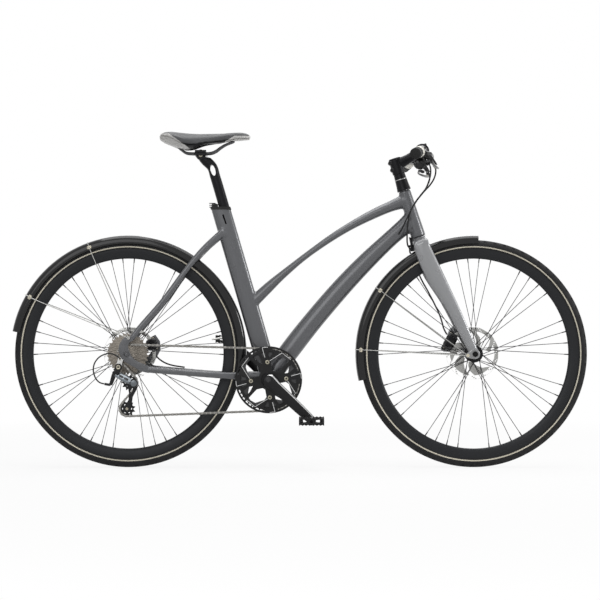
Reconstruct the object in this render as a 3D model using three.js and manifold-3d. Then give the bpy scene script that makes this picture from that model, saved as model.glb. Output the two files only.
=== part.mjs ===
// A step-through trekking bicycle, in millimetres, with +X forwards, +Y to the rider's left and +Z up.
// The ground is z = 0. The drive side is the rider's right, -Y.
import * as THREE from 'three';
import { mergeVertices } from 'three/addons/utils/BufferGeometryUtils.js';
import Module from 'manifold-3d';

const wasm = await Module();
wasm.setup();

const { degToRad, lerp } = THREE.MathUtils;
const quarterTurn = Math.PI / 2;
const fullTurn = 2 * Math.PI;

// Driving dimensions
const tyreRadius = 343;
const tyreWidth = 31;
const tyreHeight = 31;
const wheelbase = 1042;
const rearAxleX = -518;
const chainstayLength = 431;
const bottomBracketDrop = 77;
const seatTubeAngle = degToRad(73.8);
const seatTubeLength = 540;
const headAngle = degToRad(72.9);
const headTubeLength = 146;
const headSetback = 208.934;
const headRise = 492;
const rearHubWidth = 135;
const frontHubWidth = 100;
const crankLength = 175;
const crankRest = degToRad(-43);
const barWidth = 600;
const saddleLength = 274;
const chainPitch = 12.7;
const ringTeeth = 46;
const cogTeeth = [30, 27, 24, 21, 19, 17, 15, 14, 13, 12];
const engagedCogIndex = 7;
const seat = 0.3;
const overrun = 2;

const v = (x, y, z) => new THREE.Vector3(x, y, z);
const rearAxle = v(rearAxleX, 0, tyreRadius);
const frontAxle = v(rearAxleX + wheelbase, 0, tyreRadius);
const bottomBracket = v(
  rearAxleX + Math.sqrt(chainstayLength ** 2 - bottomBracketDrop ** 2), 0, tyreRadius - bottomBracketDrop);
const headTop = v(frontAxle.x - headSetback, 0, frontAxle.z + headRise);
const headDown = v(Math.cos(headAngle), 0, -Math.sin(headAngle));
const headForward = v(Math.sin(headAngle), 0, Math.cos(headAngle));
const seatUp = v(-Math.cos(seatTubeAngle), 0, Math.sin(seatTubeAngle));
const seatForward = v(Math.sin(seatTubeAngle), 0, Math.cos(seatTubeAngle));

// A place by its distance down the steering axis, forward of it and to its left
const onHead = (along, forward, left) => headTop.clone()
  .addScaledVector(headDown, along).addScaledVector(headForward, forward).add(v(0, left, 0));
// A place by its distance up the seat tube, forward of its axis and to its left
const seatFoot = bottomBracket.clone().add(v(4.5, 0, 0));
const onSeatTube = (along, forward, left) => seatFoot.clone()
  .addScaledVector(seatUp, along).addScaledVector(seatForward, forward).add(v(0, left, 0));

// Solids
function solid(geometry) {
  const bare = geometry.index ? geometry.toNonIndexed() : geometry.clone();
  bare.deleteAttribute('normal');
  bare.deleteAttribute('uv');
  const merged = mergeVertices(bare);
  const made = new wasm.Manifold(new wasm.Mesh({
    numProp: 3,
    vertProperties: new Float32Array(merged.attributes.position.array),
    triVerts: new Uint32Array(merged.index.array),
  }));
  return made;
}

function geometryOf(manifold) {
  const mesh = manifold.getMesh();
  const geometry = new THREE.BufferGeometry();
  geometry.setAttribute('position', new THREE.BufferAttribute(mesh.vertProperties.slice(), 3));
  geometry.setIndex(new THREE.BufferAttribute(mesh.triVerts.slice(), 1));
  return geometry;
}

const joined = (pieces) => pieces.reduce((all, piece) => all.add(piece));
const cut = (body, tools) => tools.reduce((left, tool) => left.subtract(tool), body);

// A skin through rings of points, closed at both ends, or joined end to start when it is a loop
function loft(rings, loop = false) {
  const count = rings[0].length;
  const positions = rings.flat().flatMap((p) => [p.x, p.y, p.z]);
  const index = [];
  const spans = loop ? rings.length : rings.length - 1;
  for (let r = 0; r < spans; r += 1) {
    const a = r * count;
    const b = ((r + 1) % rings.length) * count;
    for (let i = 0; i < count; i += 1) {
      const j = (i + 1) % count;
      index.push(a + i, b + j, b + i, a + i, a + j, b + j);
    }
  }
  if (!loop) {
    const cap = (ring, start, flip) => {
      const normal = v(0, 0, 0);
      ring.forEach((p, i) => normal.add(p.clone().cross(ring[(i + 1) % count])));
      normal.normalize();
      const across = ring[1].clone().sub(ring[0]).normalize();
      const up = normal.clone().cross(across);
      const flat = ring.map((p) => new THREE.Vector2(p.dot(across), p.dot(up)));
      THREE.ShapeUtils.triangulateShape(flat, []).forEach(([i, j, k]) => {
        index.push(start + i, start + (flip ? k : j), start + (flip ? j : k));
      });
    };
    cap(rings[0], 0, true);
    cap(rings[rings.length - 1], (rings.length - 1) * count, false);
  }
  const geometry = new THREE.BufferGeometry();
  geometry.setAttribute('position', new THREE.Float32BufferAttribute(positions, 3));
  geometry.setIndex(index);
  if (solid(geometry).volume() < 0) {
    const flipped = [];
    for (let i = 0; i < index.length; i += 3) flipped.push(index[i], index[i + 2], index[i + 1]);
    geometry.setIndex(flipped);
  }
  return geometry;
}

// A rounded-box ring about a centre: power 2 is an ellipse and a higher power is squarer
function ring(centre, across, up, halfAcross, halfUp, count, power = 2, turn = 0) {
  return Array.from({ length: count }, (_, i) => {
    const angle = turn + (i * fullTurn) / count;
    const c = Math.cos(angle);
    const s = Math.sin(angle);
    const reach = (Math.abs(c) ** power + Math.abs(s) ** power) ** (-1 / power);
    return centre.clone().addScaledVector(across, halfAcross * c * reach).addScaledVector(up, halfUp * s * reach);
  });
}

const sideways = v(0, 1, 0);

// A tube through stations [centre, depth, width], with its rings square to the path in the side view
function stationTube(stations, count, power) {
  const rings = stations.map(([centre, depth, width], i) => {
    const before = stations[Math.max(i - 1, 0)][0];
    const after = stations[Math.min(i + 1, stations.length - 1)][0];
    const along = after.clone().sub(before).normalize();
    const up = along.clone().cross(sideways).normalize();
    const across = up.clone().cross(along).normalize();
    return ring(centre, across, up, width / 2, depth / 2, count, power, Math.PI / count);
  });
  return loft(rings);
}

// A round bar along a curve through points
function bar(points, radius, sides, steps, closed = false) {
  const curve = new THREE.CatmullRomCurve3(points, closed, 'centripetal');
  const outline = new THREE.Shape(Array.from({ length: sides }, (_, i) => {
    const angle = (i * fullTurn) / sides;
    return new THREE.Vector2(radius * Math.cos(angle), radius * Math.sin(angle));
  }));
  return new THREE.ExtrudeGeometry(outline, { steps, bevelEnabled: false, extrudePath: curve });
}

// A straight rod between two points
function rod(from, to, radius, sides, endRadius = radius) {
  const length = from.distanceTo(to);
  const geometry = new THREE.CylinderGeometry(endRadius, radius, length, sides);
  geometry.translate(0, length / 2, 0);
  geometry.applyQuaternion(new THREE.Quaternion().setFromUnitVectors(
    sideways, to.clone().sub(from).normalize()));
  return geometry.translate(from.x, from.y, from.z);
}

// A turned piece about an axle that lies along Y; the profile is [radius, y] pairs
function turned(centre, profile, sides) {
  const points = profile.map(([r, y]) => new THREE.Vector2(r, y));
  points.push(points[0].clone());
  const geometry = new THREE.LatheGeometry(points, sides);
  const made = solid(geometry);
  const right = made.volume() < 0 ? turnedBack(geometry) : geometry;
  return right.translate(centre.x, centre.y, centre.z);
}

function turnedBack(geometry) {
  const index = geometry.index.array;
  for (let i = 0; i < index.length; i += 3) [index[i + 1], index[i + 2]] = [index[i + 2], index[i + 1]];
  return geometry;
}

// A flat plate in the side view, between two y planes; the outline is [x, z] pairs about a centre
function plate(centre, outline, yLow, yHigh, holes = []) {
  const shape = new THREE.Shape(outline.map(([x, z]) => new THREE.Vector2(x, z)));
  holes.forEach((hole) => shape.holes.push(new THREE.Path(hole.map(([x, z]) => new THREE.Vector2(x, z)))));
  const geometry = new THREE.ExtrudeGeometry(shape, { depth: yHigh - yLow, bevelEnabled: false });
  return geometry.rotateX(quarterTurn).translate(centre.x, centre.y + yHigh, centre.z);
}

const circle = (radius, sides, x = 0, z = 0, turn = 0) => Array.from({ length: sides }, (_, i) => {
  const angle = turn + (i * fullTurn) / sides;
  return [x + radius * Math.cos(angle), z + radius * Math.sin(angle)];
});
const polar = (radius, angle) => [radius * Math.cos(angle), radius * Math.sin(angle)];

// Group of named meshes
const bike = new THREE.Group();
const finishes = {
  frameGrey: [0x77797c, 0.42, 0.6],
  forkSilver: [0x9c9ea0, 0.35, 0.7],
  black: [0x1b1b1c, 0.5, 0.1],
  blackAlloy: [0x222223, 0.35, 0.5],
  rubber: [0x252423, 0.9, 0],
  rim: [0x2a2827, 0.4, 0.4],
  steel: [0xa9a8a4, 0.3, 1],
  cogSteel: [0x9a9082, 0.4, 1],
  silver: [0xb8babd, 0.3, 0.9],
  saddle: [0x3a3a3b, 0.75, 0],
};
function add(name, geometry, finish) {
  const [color, roughness, metalness] = finishes[finish];
  const mesh = new THREE.Mesh(geometry, new THREE.MeshStandardMaterial({ color, roughness, metalness }));
  mesh.name = name;
  bike.add(mesh);
}
// Joins and cuts leave slivers, which are merged where they move the surface by less than this
const sliver = 0.06;
const addSolid = (name, manifold, finish) => add(name, geometryOf(manifold.simplify(sliver)), finish);

// Frame: hydroformed main tubes that bow upwards between the head tube and the bottom bracket
const tubeSides = 10;
const tubePower = 2.4;
const headTube = { topRadius: 18.5, bottomRadius: 22.5, bore: 15 };
const seatTube = { depth: 56.5, width: 34, postForward: 11, boreDepth: 240 };
const topTube = { belowSeat: 310, headDrop: 30, bow: 39, depth: 32, width: 36 };
const topTubeAlongShares = [0, 0.12, 0.22, 0.36, 0.52, 0.66, 0.8, 0.91, 1];
const topTubeDepthShares = [1.15, 1, 0.76, 0.6, 0.68, 0.78, 0.95, 1.05, 1.4];
const topTubeWidthShares = [0.9, 0.88, 0.8, 0.74, 0.78, 0.86, 0.96, 1, 1];
const downTube = { headDrop: 92, bow: 33, depth: 60, width: 54 };
const downTubeAlongShares = [0, 0.14, 0.3, 0.5, 0.68, 0.84, 0.94, 1];
const downTubeDepthShares = [0.92, 1.02, 1, 0.97, 0.9, 0.82, 0.86, 1];
const downTubeWidthShares = [1.15, 1.08, 1, 1, 0.96, 0.86, 0.76, 0.7];
const shell = { radius: 24.5, width: 73, bore: 17 };
const seatstay = { depth: 18, width: 15, topDepth: 25, topWidth: 20, belowSeat: 77 };
const chainstay = { depth: 19, width: 17, frontDepth: 29 };
const dropoutPlate = { thickness: 6, eyeletX: 6, eyeletZ: 48, eyeletRadius: 7.5, slot: 5.3 };
const dropoutY = rearHubWidth / 2 + dropoutPlate.thickness / 2;
const bridgeRadius = 7;
const bridgeShare = 0.2;

function bowedTube(from, to, tube, alongShares, depthShares, widthShares) {
  const stations = alongShares.map((share, i) => {
    const centre = from.clone().lerp(to, share);
    centre.z += 4 * tube.bow * share * (1 - share);
    return [centre, tube.depth * depthShares[i], tube.width * widthShares[i]];
  });
  return stationTube(stations, tubeSides, tubePower);
}

// Rear stays: places are shares of the way from the front end to the dropout, and y is half the spacing
const seatstayDropShares = [0, 0.16, 0.36, 0.64, 0.88, 1];
const seatstayBackShares = [0.04, 0.241, 0.434, 0.665, 0.896, 1];
const seatstayYShares = [0.2, 0.46, 0.56, 0.69, 0.86, 0.9];
const chainstayBackShares = [0, 0.12, 0.24, 0.46, 0.72, 1];
const chainstayDropShares = [0, 0.05, 0.12, 0.3, 0.62, 1];
const chainstayYShares = [0.44, 0.46, 0.5, 0.73, 0.89, 0.94];
const chainstayDepthShares = [1, 0.92, 0.8, 0.66, 0.64, 0.7];

function seatstayStations(side) {
  const top = onSeatTube(seatTubeLength - seatstay.belowSeat, 0, 0);
  const foot = rearAxle.clone().add(v(dropoutPlate.eyeletX + 8, 0, dropoutPlate.eyeletZ - 2));
  return seatstayDropShares.map((share, i) => {
    const narrow = Math.min(share * 4, 1);
    return [
      v(lerp(top.x, foot.x, seatstayBackShares[i]), side * seatstayYShares[i] * dropoutY,
        lerp(top.z, foot.z, share)),
      lerp(seatstay.topDepth, seatstay.depth, narrow),
      lerp(seatstay.topWidth, seatstay.width, narrow)];
  });
}
const seatstayTube = (side) => stationTube(seatstayStations(side), 8, tubePower);
// The bridge between the seatstays, which also carries the mudguard's bolt
const bridgeEnds = () => [1, -1].map((side) => {
  const stations = seatstayStations(side);
  return stations[1][0].clone().lerp(stations[2][0], bridgeShare);
});
function bridge() {
  const [left, right] = bridgeEnds();
  return rod(right, left, bridgeRadius, 8);
}
// A boss that reaches from a bridge or crown down to the mudguard's crown
function mudguardBoss(centre, angle, from, reach) {
  const at = (r) => centre.clone().add(v(r * Math.cos(angle), 0, r * Math.sin(angle)));
  return rod(at(mudguardCrown(reach, angle) + 2 * seat), at(from), mudguard.boss, 8);
}

function chainstayTube(side) {
  const front = bottomBracket.clone().add(v(-8, 0, 8));
  const foot = rearAxle.clone().add(v(54, 0, -45));
  return stationTube(chainstayBackShares.map((share, i) => [
    v(lerp(front.x, foot.x, share), side * chainstayYShares[i] * dropoutY,
      lerp(front.z, foot.z, chainstayDropShares[i])),
    chainstay.frontDepth * chainstayDepthShares[i],
    chainstay.width,
  ]), 8, tubePower);
}

// The dropout's outline in millimetres about the axle, as the forging runs from stay to stay
const dropoutOutline = [
  [-2, 53], [-14, 42], [-22, 28], [-23, 6], [-17, -10], [-10, -20], [24, -39], [42, -51], [66, -56],
  [64, -34], [32, -21], [16, -6], [8, 10], [4, 26], [20, 40], [14, 53],
];

function frameSolid() {
  const headFoot = onHead(headTubeLength, 0, 0);
  const tubes = [
    rod(headFoot, headTop, headTube.bottomRadius, 16, headTube.topRadius),
    bowedTube(onSeatTube(seatTubeLength - topTube.belowSeat, 0, 0), onHead(topTube.headDrop, -6, 0), topTube,
      topTubeAlongShares, topTubeDepthShares, topTubeWidthShares),
    bowedTube(bottomBracket, onHead(downTube.headDrop, -4, 0), downTube,
      downTubeAlongShares, downTubeDepthShares, downTubeWidthShares),
    stationTube([
      [onSeatTube(-6, 0, 0), seatTube.depth, seatTube.width * 1.3],
      [onSeatTube(seatTubeLength * 0.16, 0, 0), seatTube.depth, seatTube.width],
      [onSeatTube(seatTubeLength, 0, 0), seatTube.depth, seatTube.width]], tubeSides, tubePower),
    turned(bottomBracket, [
      [shell.bore, -shell.width / 2], [shell.radius, -shell.width / 2],
      [shell.radius, shell.width / 2], [shell.bore, shell.width / 2]], 16),
  ];
  // The stays end flush with the dropouts' outer faces
  const flush = rearHubWidth / 2 + dropoutPlate.thickness;
  for (const side of [-1, 1]) {
    const inner = side * rearHubWidth / 2;
    const outer = side * (rearHubWidth / 2 + dropoutPlate.thickness);
    tubes.push(seatstayTube(side), chainstayTube(side),
      plate(rearAxle, dropoutOutline, Math.min(inner, outer), Math.max(inner, outer)));
  }
  // The left dropout's tab carries the caliper, and a boss on the bridge the mudguard
  tubes.push(plate(rearAxle, caliperTabRear, rearHubWidth / 2, rearHubWidth / 2 + dropoutPlate.thickness));
  const bridgeAt = bridgeEnds()[0].clone().setY(0);
  const fromAxle = bridgeAt.clone().sub(rearAxle);
  tubes.push(bridge(), mudguardBoss(rearAxle, Math.atan2(fromAxle.z, fromAxle.x), fromAxle.length(),
    mudguard.rear));
  const bores = [
    rod(onHead(-overrun, 0, 0), onHead(headTubeLength + overrun, 0, 0), headTube.bore, 12),
    rod(onSeatTube(seatTubeLength - seatTube.boreDepth, seatTube.postForward, 0),
      onSeatTube(seatTubeLength + overrun, seatTube.postForward, 0), seatpost.radius + seat, 16),
    rod(v(bottomBracket.x, -shell.width, bottomBracket.z),
      v(bottomBracket.x, shell.width, bottomBracket.z), shell.bore, 16),
    ...[-1, 1].map((side) => rod(v(bottomBracket.x, (side * shell.width) / 2, bottomBracket.z),
      v(bottomBracket.x, side * shell.width, bottomBracket.z), shell.radius, 16)),
    rod(v(rearAxle.x, -rearHubWidth, rearAxle.z), v(rearAxle.x, rearHubWidth, rearAxle.z),
      dropoutPlate.slot, 8),
    ...[-1, 1].map((side) => {
      const box = new THREE.BoxGeometry(chainstayLength / 2, flush / 2, chainstayLength / 2);
      return box.translate(rearAxle.x, side * flush * 1.25, rearAxle.z);
    }),
  ];
  return cut(joined(tubes.map(solid)), bores.map(solid));
}

// Seatpost with a set-back head, and the collar that pinches it
const seatpost = {
  radius: 15.8, inside: 165, outside: 136, headBack: 24, headRise: 32,
  neckDrop: 46, neckAcross: 29, headDrop: 12, headDeep: 36, headAcross: 32, windowHalf: 40, windowRadius: 8,
  windowWide: 0.75, windowTall: 1.9, windowAhead: 2,
};
const collar = { height: 16, wall: 3.5, finReach: 15, finWidth: 12, finHeight: 3, finPitch: 5 };

function seatpostSolid() {
  const foot = onSeatTube(seatTubeLength - seatpost.inside, seatTube.postForward, 0);
  const neck = onSeatTube(seatTubeLength + seatpost.outside, seatTube.postForward, 0);
  const post = rod(foot, neck, seatpost.radius, 16);
  const cradle = saddleClamp.centre();
  const head = stationTube([
    [onSeatTube(seatTubeLength + seatpost.outside - seatpost.neckDrop, seatTube.postForward, 0),
      seatpost.neckAcross, seatpost.neckAcross],
    [onSeatTube(seatTubeLength + seatpost.outside - seatpost.headDrop, seatTube.postForward - 1, 0),
      seatpost.headAcross, seatpost.headAcross - 1],
    [cradle.clone().lerp(neck, 0.45), seatpost.headDeep + 2, seatpost.headAcross],
    [cradle.clone().lerp(neck, 0.2), seatpost.headDeep, seatpost.headAcross]], 12, tubePower);
  const { windowHalf, windowRadius } = seatpost;
  const pocket = rod(cradle.clone().setY(-windowHalf), cradle.clone().setY(windowHalf),
    saddleClamp.radius + seat, 20);
  // The oval window through the head is a round hole, narrowed and drawn out
  const slot = rod(v(0, -windowHalf, 0), v(0, windowHalf, 0), windowRadius, 10);
  slot.scale(seatpost.windowWide, 1, seatpost.windowTall)
    .translate(neck.x + seatpost.windowAhead, 0, neck.z - windowRadius);
  const above = [-1, 0, 1].map((tilt) => {
    const side = saddleClamp.halfWidth * 3;
    const box = new THREE.BoxGeometry(side, side, saddleClamp.length);
    box.translate(0, 0, saddleClamp.length / 2 - saddleClamp.headGap - seat).rotateY(tilt * saddleClamp.tilt);
    return box.translate(cradle.x, 0, cradle.z);
  });
  return cut(joined([post, head].map(solid)), [pocket, slot, ...above].map(solid));
}

function collarSolid() {
  const band = (grow, from, to) => stationTube([
    [onSeatTube(seatTubeLength + from, 0, 0), seatTube.depth + 2 * grow, seatTube.width + 2 * grow],
    [onSeatTube(seatTubeLength + to, 0, 0), seatTube.depth + 2 * grow, seatTube.width + 2 * grow],
  ], tubeSides, tubePower);
  const body = solid(band(collar.wall, -collar.height + 6, 8));
  const grip = solid(band(seat, -collar.height, seat));
  const passage = solid(rod(onSeatTube(seatTubeLength - 20, seatTube.postForward, 0),
    onSeatTube(seatTubeLength + 20, seatTube.postForward, 0), seatpost.radius + seat, 16));
  const fins = [0, 1, 2].map((i) => {
    const fin = new THREE.BoxGeometry(collar.finReach, collar.finWidth, collar.finHeight);
    const c = onSeatTube(seatTubeLength + 7 - i * collar.finPitch, -seatTube.depth / 2 - 3, 0);
    return solid(fin.rotateY(seatTubeAngle - quarterTurn).translate(c.x, c.y, c.z));
  });
  return cut(body, [grip, passage]).add(cut(joined(fins), [grip]));
}

// Saddle clamp: a half-round cradle under the rails and a bar over them, pulled together by one bolt
const railSpacing = 44;
const railRadius = 3.5;
const saddleClamp = {
  radius: 15, halfWidth: 30, plateHeight: 10, length: 38, tilt: degToRad(10), headGap: 1.8,
  centre: () => onSeatTube(seatTubeLength + seatpost.outside + seatpost.headRise,
    seatTube.postForward - seatpost.headBack, 0),
};

// The rails: one wire from the rear sockets along both sides to the nose, in millimetres from the clamp
const railPath = [
  [-68, 24], [-57, 15], [-45, 7], [-30, 4.5], [0, 5], [30, 5.5], [45, 11], [60, 22], [77, 32], [97, 39.5],
];
const railSpreadShares = [1.05, 1, 1, 1, 1, 1, 0.92, 0.74, 0.5, 0.32];
function railPoints(side, extra) {
  const c = saddleClamp.centre();
  const points = railPath.map(([x, z], i) => v(
    c.x + x, (side * railSpreadShares[i] * railSpacing) / 2, c.z + z));
  points[0].addScaledVector(points[0].clone().sub(points[1]).normalize(), extra);
  return points;
}
function railsGeometry(radius, extra = 0) {
  return bar([...railPoints(-1, extra), ...railPoints(1, extra).reverse()], radius, 6, 26);
}
const railGrooves = () => solid(railsGeometry(railRadius + 2 * seat, seat));

function clampSolids() {
  const c = saddleClamp.centre();
  const width = saddleClamp.halfWidth;
  const railZ = c.z + 5.2;
  const block = (low, high, half, length) => {
    const box = new THREE.BoxGeometry(length, 2 * half, high - low);
    return solid(box.translate(c.x, 0, (low + high) / 2));
  };
  const drum = solid(rod(v(c.x, -15, c.z), v(c.x, 15, c.z), saddleClamp.radius, 20));
  const grooves = railGrooves();
  const lower = cut(joined([
    cut(drum, [block(railZ, railZ + 40, 40, 80)]),
    block(railZ - 7, railZ, width, saddleClamp.length)]), [grooves]);
  const upper = cut(block(railZ + seat, railZ + 9, width, saddleClamp.length - 4), [grooves]);
  return [lower, upper];
}

// Saddle: stations from the tail to the nose, as shares of the length
const saddle = { tailBack: 123.6, rise: 65.7, width: 156, depth: 40, skin: 1 };
saddle.tailX = saddleClamp.centre().x - saddle.tailBack;
saddle.top = saddleClamp.centre().z + saddle.rise;
const saddleAlongShares = [0, 0.04, 0.12, 0.24, 0.36, 0.5, 0.64, 0.78, 0.9, 0.97, 1];
const saddleWidthShares = [0.5, 0.8, 0.97, 1, 0.9, 0.62, 0.4, 0.29, 0.25, 0.19, 0.1];
const saddleTopShares = [-0.16, 0, 0.06, -0.02, -0.08, -0.08, -0.03, 0.06, 0.09, -0.02, -0.2];
const saddlePartShares = [-0.26, -0.3, -0.42, -0.85, -0.98, -0.78, -0.66, -0.52, -0.42, -0.42, -0.42];
const saddleFloorShares = [-0.5, -0.68, -0.9, -1.2, -1.2, -0.9, -0.78, -0.6, -0.54, -0.5, -0.48];

// A smooth curve through a table, read at a share of the way along it
const curveShare = (shares, t) => new THREE.SplineCurve(
  shares.map((share, i) => new THREE.Vector2(i, share))).getPoint(t).y;
function saddleStation(t) {
  const at = (shares) => curveShare(shares, t);
  return {
    x: saddle.tailX + at(saddleAlongShares) * saddleLength,
    halfWidth: (at(saddleWidthShares) * saddle.width) / 2,
    top: saddle.top + at(saddleTopShares) * saddle.depth,
    part: saddle.top + at(saddlePartShares) * saddle.depth,
    floor: saddle.top + at(saddleFloorShares) * saddle.depth,
  };
}
const saddleSteps = 15;
const saddleStations = Array.from({ length: saddleSteps + 1 }, (_, i) => saddleStation(i / saddleSteps));

// The cushion's section: a crowned top, full shoulders, and sides drawn in to the seam with the shell
const crownSides = 14;
const cushionGeometry = () => loft(saddleStations.map(({ x, halfWidth, top, part }) => Array.from(
  { length: crownSides + 1 }, (_, k) => {
    const c = Math.cos((Math.PI * k) / crownSides);
    const rise = Math.abs(Math.sin((Math.PI * k) / crownSides)) ** 0.55;
    const drawn = 1 - 0.05 * (1 - rise);
    return v(x, halfWidth * drawn * Math.sign(c) * Math.abs(c) ** 0.7, part + (top - part) * rise);
  })));
function shellRing(station) {
  const { x, floor } = station;
  const halfWidth = station.halfWidth - saddle.skin;
  const top = station.part - seat;
  return [
    v(x, halfWidth, top), v(x, halfWidth * 0.82, lerp(top, floor, 0.7)), v(x, halfWidth * 0.4, floor),
    v(x, -halfWidth * 0.4, floor), v(x, -halfWidth * 0.82, lerp(top, floor, 0.7)), v(x, -halfWidth, top)];
}
function saddleShellSolid() {
  const body = solid(loft(saddleStations.map(shellRing)));
  const hollow = new THREE.BoxGeometry(saddleLength * 0.52, 62, 60);
  hollow.translate(saddle.tailX + saddleLength * 0.5, 0, saddle.top - 60);
  return cut(body, [solid(hollow), railGrooves()]);
}

// Calipers: half widths across the rotor, and the tabs that carry them, in millimetres about the axles
const caliper = { half: 15, depthHalf: 17, endHalf: 10, endDepth: 12, slotHalf: 2.2, footHalf: 5, footDepth: 7, tab: 6 };
// Each caliper's place on its rotor: its angle about the axle, its radius and the share's base along the rim
const caliperRear = { angle: degToRad(22), radius: 72, reach: 34 };
const caliperFront = { angle: degToRad(152), radius: 76, reach: 50 };
const caliperTabsFront = [
  [[-24, 88], [-56, 84], [-68, 74], [-76, 54], [-68, 45], [-54, 57], [-22, 58]],
  [[-12, 14], [-40, 12], [-74, 19], [-90, 22], [-96, 12], [-86, 4], [-60, 3], [-36, 4], [-12, 6]]];
const caliperTabRear = [
  [30, -24], [64, -34], [80, -14], [92, 10], [90, 36], [76, 56], [64, 50], [72, 30], [70, 12], [56, -6], [34, -10]];

// Front end: fork with bladed legs on a crown, about the steering axis
const fork = {
  crownTop: headTubeLength + 0.8, crownHeight: 22, crownHalf: 38, legTop: 167, steererRadius: 14.3,
  steererTop: -103, depth: 52, thickness: 24, tipThick: 13.2, tipRadius: 15,
  eyelet: [-22, -4], lugRadius: 7,
};
fork.tipHalf = frontHubWidth / 2 + 7;
const forkAlongShares = [0, 0.1, 0.27, 0.49, 0.65, 0.86, 1];
const forkForwardShares = [0, 0.02, 0.17, 0.48, 0.66, 0.85, 1];
const forkDepthShares = [0.86, 1, 1.02, 0.78, 0.69, 0.6, 0.52];
const forkThicknessShares = [0.9, 1, 0.96, 0.8, 0.7, 0.62, 0.56];
const forkSpreadShares = [0, 0.04, 0.16, 0.42, 0.62, 0.86, 1];
const axleOnHead = {
  along: frontAxle.clone().sub(headTop).dot(headDown),
  forward: frontAxle.clone().sub(headTop).dot(headForward),
};

function forkLeg(side) {
  const stations = forkAlongShares.map((share, i) => [
    onHead(lerp(fork.legTop, axleOnHead.along, share), axleOnHead.forward * forkForwardShares[i],
      side * lerp(fork.crownHalf, fork.tipHalf, forkSpreadShares[i])),
    fork.depth * forkDepthShares[i], fork.thickness * forkThicknessShares[i]]);
  return stationTube(stations, 8, tubePower);
}
function forkSolid() {
  const crownY = [-1, -0.55, 0, 0.55, 1].map((share) => share * (fork.crownHalf + 8));
  const crownDropShares = [0.55, 0.2, 0, 0.2, 0.55];
  const crown = loft(crownY.map((y, i) => ring(
    onHead(fork.crownTop + fork.crownHeight * (0.5 + crownDropShares[i]), 0, y),
    headForward, headDown, 24, fork.crownHeight / 2, 8, 3)));
  const pieces = [
    rod(onHead(fork.crownTop, 0, 0), onHead(fork.crownTop + 14, 0, 0), 22, 16),
    rod(onHead(fork.crownTop + 4, 0, 0), onHead(fork.steererTop, 0, 0), fork.steererRadius, 12),
    crown,
  ];
  const lugs = [];
  for (const side of [-1, 1]) {
    const tip = (x, z, radius) => solid(rod(
      v(frontAxle.x + x, side * fork.tipHalf - fork.tipThick / 2, frontAxle.z + z),
      v(frontAxle.x + x, side * fork.tipHalf + fork.tipThick / 2, frontAxle.z + z), radius, 12));
    lugs.push(wasm.Manifold.hull([tip(0, 0, fork.tipRadius), tip(...fork.eyelet, fork.lugRadius)]));
    pieces.push(forkLeg(side));
  }
  // The left leg's tabs carry the caliper, and a boss under the crown the mudguard
  const tabInner = frontHub.rotorY + caliper.half + seat;
  pieces.push(...caliperTabsFront.map((tab) => plate(frontAxle, tab, tabInner, tabInner + caliper.tab)));
  const crownCentre = onHead(fork.crownTop + fork.crownHeight / 2, 0, 0).sub(frontAxle);
  const bossAngle = Math.atan2(crownCentre.z, crownCentre.x);
  pieces.push(mudguardBoss(frontAxle, bossAngle, crownCentre.length(), mudguard.front));
  const bores = [
    solid(rod(v(frontAxle.x, -frontHubWidth, frontAxle.z), v(frontAxle.x, frontHubWidth, frontAxle.z),
      axle.radius + seat, 8)),
    solid(rod(v(frontAxle.x, -frontHubWidth / 2, frontAxle.z), v(frontAxle.x, frontHubWidth / 2, frontAxle.z),
      30, 16)),
  ];
  return cut(joined([...pieces.map(solid), ...lugs]), bores);
}

// Headset cone, stem and its faceplate
const cone = { top: -53, bottom: -0.3, topRadius: 17, bottomRadius: 21 };
const stem = {
  clampTop: -103, clampBottom: -53.3, radius: 19, reach: 85, barAlong: -98, barRadius: 22, halfWidth: 23,
  splitSide: 80, splitAhead: 2, boltBack: -16, boltHalf: 14, boltRadius: 7, boltsAlong: [-70, -92],
  boreHalf: 40, borePlay: 0.2, capHeight: 5,
};
// The extension's stations: along and ahead of the head tube's top, then depth and width
const stemExtension = [[-82, 8, 36, 32], [-88, 40, 29, 29], [stem.barAlong, stem.reach - 12, 30, 40]];
const barCentre = onHead(stem.barAlong, stem.reach, 0);
const handlebar = { clampRadius: 15.9, gripRadius: 11.1, sweepBack: 36, drop: 28 };

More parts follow.
